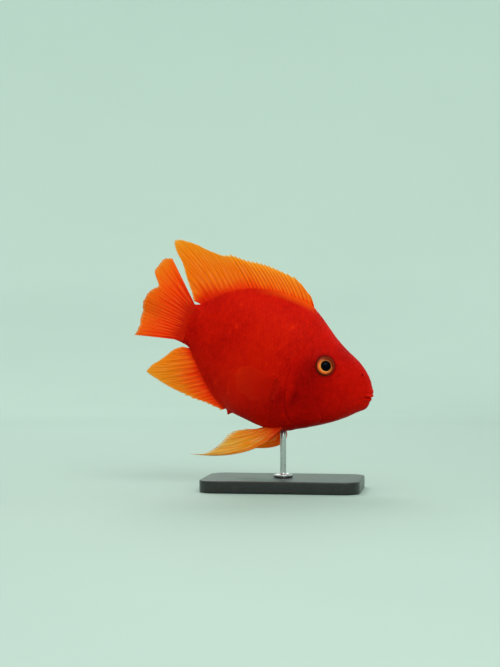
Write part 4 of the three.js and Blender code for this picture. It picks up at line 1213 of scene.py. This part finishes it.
# eyes: a ball with a raised iris and a dark lens in it. Colours run over shares of the ball's radius.
eyeLook = {
    "radius": 10,
    "profile": [  # radius, height along the eye's axis
        [0, -5.6], [4, -5.13], [7, -4.0], [9, -2.44], [9.9, -0.8], [10, 0], [9.7, 1.36], [8.9, 2.36],
        [8.2, 2.94], [7.6, 3.2], [7.1, 3.36], [6.7, 3.56], [6.0, 3.88], [5.2, 4.12], [4.6, 4.22],
        [4.3, 4.18], [4.12, 4.05], [3.98, 4.08], [3.5, 4.44], [2.7, 4.88], [1.8, 5.16], [0.9, 5.3],
        [0, 5.34],
    ],
    "turns": 96, "steps": 110, "pupilForward": 0.35, "forwardFrom": (7.2, 4.2),
    "iris": [
        (0.0, (1, 4, 16)), (0.22, (1, 2, 8)), (0.37, (2, 1, 2)), (0.415, (20, 4, 2)),
        (0.445, (190, 110, 46)), (0.49, (240, 146, 74)), (0.56, (228, 106, 42)), (0.64, (208, 74, 28)),
        (0.69, (104, 18, 5)), (0.74, (44, 2, 0)),
    ],
    "wobble": 0.02, "fibre": (240, 146, 70), "fibreShare": 0.06, "fibresFrom": (0.42, 0.48),
    # a dull shade on one side of the iris: its turn, and how much of it there is and how uneven
    "shade": (106, 18, 6), "shadeTurn": 115, "shadeAmount": (0.5, 0.7),
    "shadeFrom": (0.42, 0.5), "shadeTo": (0.75, 0.81),
    "spokeScale": 26, "spokeLength": 0.35, "spokeBump": (0.2, 0.0003), "roughness": 0.12, "shine": 0.03,
}


# middle of the eye, and its directions outwards, to the tail and upwards
def eyeAxes(side):
    point, out = placeOnSide(eye["spot"], side)
    back = unit(np.cross(out, [0, 0, 1]))
    back = back * np.sign(back[0])
    up = unit(np.cross(back, out))
    return point - out * eye["sunk"], out, back, up * np.sign(up[2])


# closed round form turned about an axis, from its profile of [radius, height] points. It also gives
# each point's turn and radius, and shift(radius, height) may move rings forwards.
def turned(profile, axes, turns, shift=None):
    centre, out, back, up = axes
    radius, height = np.asarray(profile, float).T
    around = np.linspace(0, 2 * np.pi, turns, endpoint=False)
    r, turn = (np.append(grid, [0, 0]) for grid in np.meshgrid(radius[1:-1], around, indexing="ij"))
    h = np.append(np.repeat(height[1:-1], turns), [height[0], height[-1]])
    forward = shift(r, h) if shift else 0
    sideways = np.outer(np.cos(turn) * r - forward, back) + np.outer(np.sin(turn) * r, up)
    points = centre + np.outer(h, out) + sideways
    return points, tubeFaces(len(radius) - 2, turns), turn, r


def pupilShift(radius, height):
    return eyeLook["pupilForward"] * smoothStep(*eyeLook["forwardFrom"], radius) * (height > 0)


def irisFinish():
    finish = Finish("orange_iris")
    radial = finish.attribute("radial")
    spokes = finish.noise(eyeLook["spokeScale"], 3, place=finish.attribute("spokes", "Vector"))
    wobble = finish.uneven(spokes, -eyeLook["wobble"], eyeLook["wobble"])
    colour = finish.ramp(finish.plus(radial, wobble), eyeLook["iris"])
    shade = finish.times(finish.attribute("dull"), finish.between(radial, *eyeLook["shadeFrom"]))
    shade = finish.times(shade, finish.between(radial, *eyeLook["shadeTo"], 1.0, 0.0))
    colour = finish.mix(shade, colour, srgb(*eyeLook["shade"]))
    fibres = finish.between(spokes, 0.35, 0.65, 0.0, eyeLook["fibreShare"])
    fibres = finish.times(fibres, finish.between(radial, *eyeLook["fibresFrom"]))
    colour = finish.mix(fibres, colour, srgb(*eyeLook["fibre"]))
    normal = finish.bump(spokes, *eyeLook["spokeBump"])
    return finish.set(colour=colour, roughness=eyeLook["roughness"], normal=normal, shine=eyeLook["shine"])


def makeEye(name, side):
    axes = eyeAxes(side)
    profile = np.array(eyeLook["profile"])
    lengths = np.append(0, np.cumsum(np.linalg.norm(np.diff(profile, axis=0), axis=1)))
    at = np.linspace(0, lengths[-1], eyeLook["steps"])
    evenProfile = np.stack([np.interp(at, lengths, column) for column in profile.T], -1)
    points, faces, turn, radial = turned(evenProfile, axes, eyeLook["turns"], pupilShift)
    height = (points - axes[0]) @ axes[1]
    radial = np.where(height > 0, radial / eyeLook["radius"], 1)
    usual, swing = eyeLook["shadeAmount"]
    return makePiece(name, inPlace(points), faces, {
        "radial": radial,
        "dull": np.clip(usual + swing * np.cos(turn - np.radians(eyeLook["shadeTurn"])), 0, 1),
        "spokes": np.stack([np.cos(turn), np.sin(turn), radial * eyeLook["spokeLength"]], -1),
    })


iris = irisFinish()
for label, side in (("left", 1), ("right", -1)):
    dress(makeEye("eye_ball_" + label, side), iris, "eye", "eye_" + label)

# stand: a dark plate with rounded corners and a steel rod on a turned foot
plate = {
    "length": 130, "width": 80, "height": 10, "corner": 14, "cornerSteps": 14,
    "bevel": 1.2, "bevelSteps": 5,
    "flatRing": 0.6, "innerRing": 0.5,  # rings that keep the flat faces flat and their middles round
    "black": (28, 27, 26), "dust": (52, 50, 48), "dustShare": 0.35, "dustScale": 240,
    "scratchScale": 900, "scratchStretch": (0.06, 1, 1), "roughness": (0.26, 0.4), "shine": 0.5,
    "grain": (0.06, 0.0001), "grainScale": 3000,
}
rod = {
    "radius": 2.5, "bottom": 10.3, "top": 56, "turns": 72, "rings": [20, 30, 40],
    "foot": 8, "footHeight": 2.4, "rounding": 0.7, "chamfer": 0.4, "fillet": 1.5, "curveSteps": 7,
    # a low ring on the foot: two distances from the foot's edge, then two from the rod
    "raised": (2.0, 2.3, 2.6, 2.3), "raisedHeight": 0.35,
    "steel": [(176, 178, 178), (206, 207, 205)], "roughness": (0.2, 0.36),
    "brushScale": 1400, "brushStretch": (0.25, 0.25, 6), "brushBump": (0.08, 0.0001),
}


def plateOutline(inset):
    corner = plate["corner"] - inset
    x, y = plate["length"] / 2 - plate["corner"], plate["width"] / 2 - plate["corner"]
    quarter = np.linspace(0, np.pi / 2, plate["cornerSteps"] + 1)
    outline = []
    for centreX, centreY, start in ((x, y, 0), (-x, y, 1), (-x, -y, 2), (x, -y, 3)):
        angle = quarter + start * np.pi / 2
        outline.append(np.stack([centreX + corner * np.cos(angle), centreY + corner * np.sin(angle)], -1))
    return np.concatenate(outline)


def makePlate():
    bevel, corner, height = plate["bevel"], plate["corner"], plate["height"]
    turn = np.linspace(0, np.pi / 2, plate["bevelSteps"] + 1)
    sine, cosine = bevel * np.sin(turn), bevel * np.cos(turn)
    inner = [corner - plate["innerRing"], bevel + plate["flatRing"]]
    insets = np.concatenate([inner, bevel - sine, bevel - cosine, inner[::-1]])
    heights = np.concatenate([[0, 0], bevel - cosine, height - bevel + sine, [height, height]])
    rings = np.stack([np.insert(plateOutline(inset), 2, level, axis=1)
                      for inset, level in zip(insets, heights)])
    points = np.concatenate([rings.reshape(-1, 3), [[0, 0, 0], [0, 0, height]]])
    return makePiece("stand_plate", points * millimetre, tubeFaces(*rings.shape[:2]), {})


def blackFinish():
    finish = Finish("black_satin")
    dust = finish.between(finish.noise(plate["dustScale"], 4, 0.6), 0.5, 0.8, 0.0, plate["dustShare"])
    colour = finish.mix(dust, srgb(*plate["black"]), srgb(*plate["dust"]))
    scratches = finish.noise(plate["scratchScale"], 2, place=finish.stretched(plate["scratchStretch"]))
    roughness = finish.uneven(scratches, *plate["roughness"])
    normal = finish.bump(finish.noise(plate["grainScale"], 2), *plate["grain"])
    return finish.set(colour=colour, roughness=roughness, normal=normal, shine=plate["shine"])


def makePost():
    foot, radius, chamfer = rod["foot"], rod["radius"], rod["chamfer"]
    rounding, fillet = rod["rounding"], rod["fillet"]
    bottom, top = rod["bottom"], rod["bottom"] + rod["footHeight"]
    turn = np.linspace(0, np.pi / 2, rod["curveSteps"])
    sine, cosine = np.sin(turn), np.cos(turn)
    edge = np.column_stack([foot - rounding + rounding * cosine, top - rounding + rounding * sine])
    joint = np.column_stack([radius + fillet - fillet * sine, top + fillet - fillet * cosine])
    outerLow, outerHigh, innerHigh, innerLow = rod["raised"]
    crest = top + rod["raisedHeight"]
    profile = [
        [0, bottom], [foot - chamfer, bottom], [foot, bottom + chamfer], *edge,
        [foot - outerLow, top], [foot - outerHigh, crest],
        [radius + innerHigh, crest], [radius + innerLow, top], *joint,
        *([radius, height] for height in rod["rings"]), [radius, rod["top"]], [0, rod["top"]],
    ]
    upright = np.array([[0, 0, 0], [0, 0, 1], [1, 0, 0], [0, 1, 0]])  # middle, upwards, and two sideways
    points, faces, _, _ = turned(profile, upright, rod["turns"])
    return makePiece("stand_post", points * millimetre, faces, {})


def steelFinish():
    finish = Finish("brushed_steel")
    brushed = finish.noise(rod["brushScale"], 3, place=finish.stretched(rod["brushStretch"]))
    dark, light = rod["steel"]
    colour = finish.mix(finish.uneven(brushed), srgb(*dark), srgb(*light))
    roughness = finish.uneven(brushed, *rod["roughness"])
    normal = finish.bump(brushed, *rod["brushBump"])
    return finish.set(colour=colour, roughness=roughness, normal=normal, metal=1.0)


dress(makePlate(), blackFinish(), "stand_base", "stand_base")
dress(makePost(), steelFinish(), "stand_rod", "stand_rod")

# studio: a pale floor that curves up into a wall all round, soft lights from above and the camera,
# and a faint glow on the wall: painted light that evens out its shade
studio = {
    # wallGlow, from glowFrom to glowTo away from the middle, is painted light on the wall
    "floor": (164, 186, 175), "wall": (190, 212, 201), "wallGlow": 0.13, "glowFrom": 1.0, "glowTo": 2.2,
    "cloudiness": 0.08, "cloudScale": 1.6, "roughness": 0.7, "shine": 0.2,
    "flat": 1.4, "curve": 1.4, "wallTop": 1.5, "turns": 96, "innerRing": 0.1,
    "flatRings": 8, "curveRings": 16, "below": 0.00005,  # the floor lies a hair under the plate
    "lights": [  # name, place, size, power, colour
        ("light_front", (0.45, -1.1, 1.15), 0.9, 11, (1.0, 0.99, 0.97)),
        ("light_behind", (-0.45, 1.1, 1.15), 0.9, 8, (1.0, 1.0, 1.0)),
    ],
    "lightsAt": (0, 0, 0.11), "world": (250, 252, 251), "worldStrength": 1.0,
}
camera = {
    "azimuth": 8, "distance": 1.2915, "lens": 85, "sensor": 36, "nearest": 0.05,
    "target": (-0.0269, -0.0038, 0.128),
}


def makeFloor():
    flat, curve, turns = studio["flat"], studio["curve"], studio["turns"]
    turn = np.linspace(0, np.pi / 2, studio["curveRings"] + 1)[1:]
    level = np.linspace(studio["innerRing"], flat, studio["flatRings"])
    radii = np.concatenate([level, flat + curve * np.sin(turn), [flat + curve]])[:, None]
    heights = np.concatenate([0 * level, curve * (1 - np.cos(turn)), [studio["wallTop"]]])[:, None]
    angle = np.linspace(0, 2 * np.pi, turns, endpoint=False)
    rings = np.stack(np.broadcast_arrays(radii * np.cos(angle), radii * np.sin(angle), heights), -1)
    points = np.concatenate([rings.reshape(-1, 3), [[0, 0, 0]]]) - [0, 0, studio["below"]]
    floor = makePiece("studio_floor", points, tubeFaces(len(radii), turns, bothEnds=False), {})
    finish = Finish("pale_floor")
    fromMiddle = finish.tree.nodes.new("ShaderNodeVectorMath")
    fromMiddle.operation = "LENGTH"
    finish.join(finish.stretched((1, 1, 0)), fromMiddle.inputs[0])
    high = finish.between(fromMiddle.outputs["Value"], studio["glowFrom"], studio["glowTo"])
    cloudy = finish.noise(studio["cloudScale"], 3)
    cloudy = finish.uneven(cloudy, -studio["cloudiness"], studio["cloudiness"])
    colour = finish.mix(finish.plus(high, cloudy), srgb(*studio["floor"]), srgb(*studio["wall"]))
    # the glow on the wall is painted light
    floor.data.materials.append(finish.set(
        colour=colour, roughness=studio["roughness"], shine=studio["shine"],
        glow=srgb(*studio["wall"]), glowStrength=finish.times(high, studio["wallGlow"]),
    ))


# object at a place, turned to face a point
def aimed(name, data, place, target):
    piece = bpy.data.objects.new(name, data)
    piece.location = place
    piece.rotation_euler = (Vector(target) - Vector(place)).to_track_quat("-Z", "Y").to_euler()
    bpy.context.scene.collection.objects.link(piece)
    return piece


def makeLights():
    for name, place, size, power, colour in studio["lights"]:
        light = bpy.data.lights.new(name, "AREA")
        light.shape = "DISK"
        light.size = size
        light.energy = power
        light.color = colour
        aimed(name, light, place, studio["lightsAt"])
    world = bpy.data.worlds.new("studio_air")
    world.use_nodes = True
    background = world.node_tree.nodes["Background"]
    background.inputs["Color"].default_value = srgb(*studio["world"])
    background.inputs["Strength"].default_value = studio["worldStrength"]
    bpy.context.scene.world = world
    bpy.context.scene.view_settings.view_transform = "Standard"


def makeCamera():
    lens = bpy.data.cameras.new("camera")
    lens.lens = camera["lens"]
    lens.sensor_width = camera["sensor"]
    lens.clip_start = camera["nearest"]
    turn = np.radians(camera["azimuth"])
    place = Vector(camera["target"]) + camera["distance"] * Vector((np.sin(turn), -np.cos(turn), 0))
    bpy.context.scene.camera = aimed("camera", lens, place, camera["target"])


makeFloor()
makeLights()
makeCamera()
print("studio made")
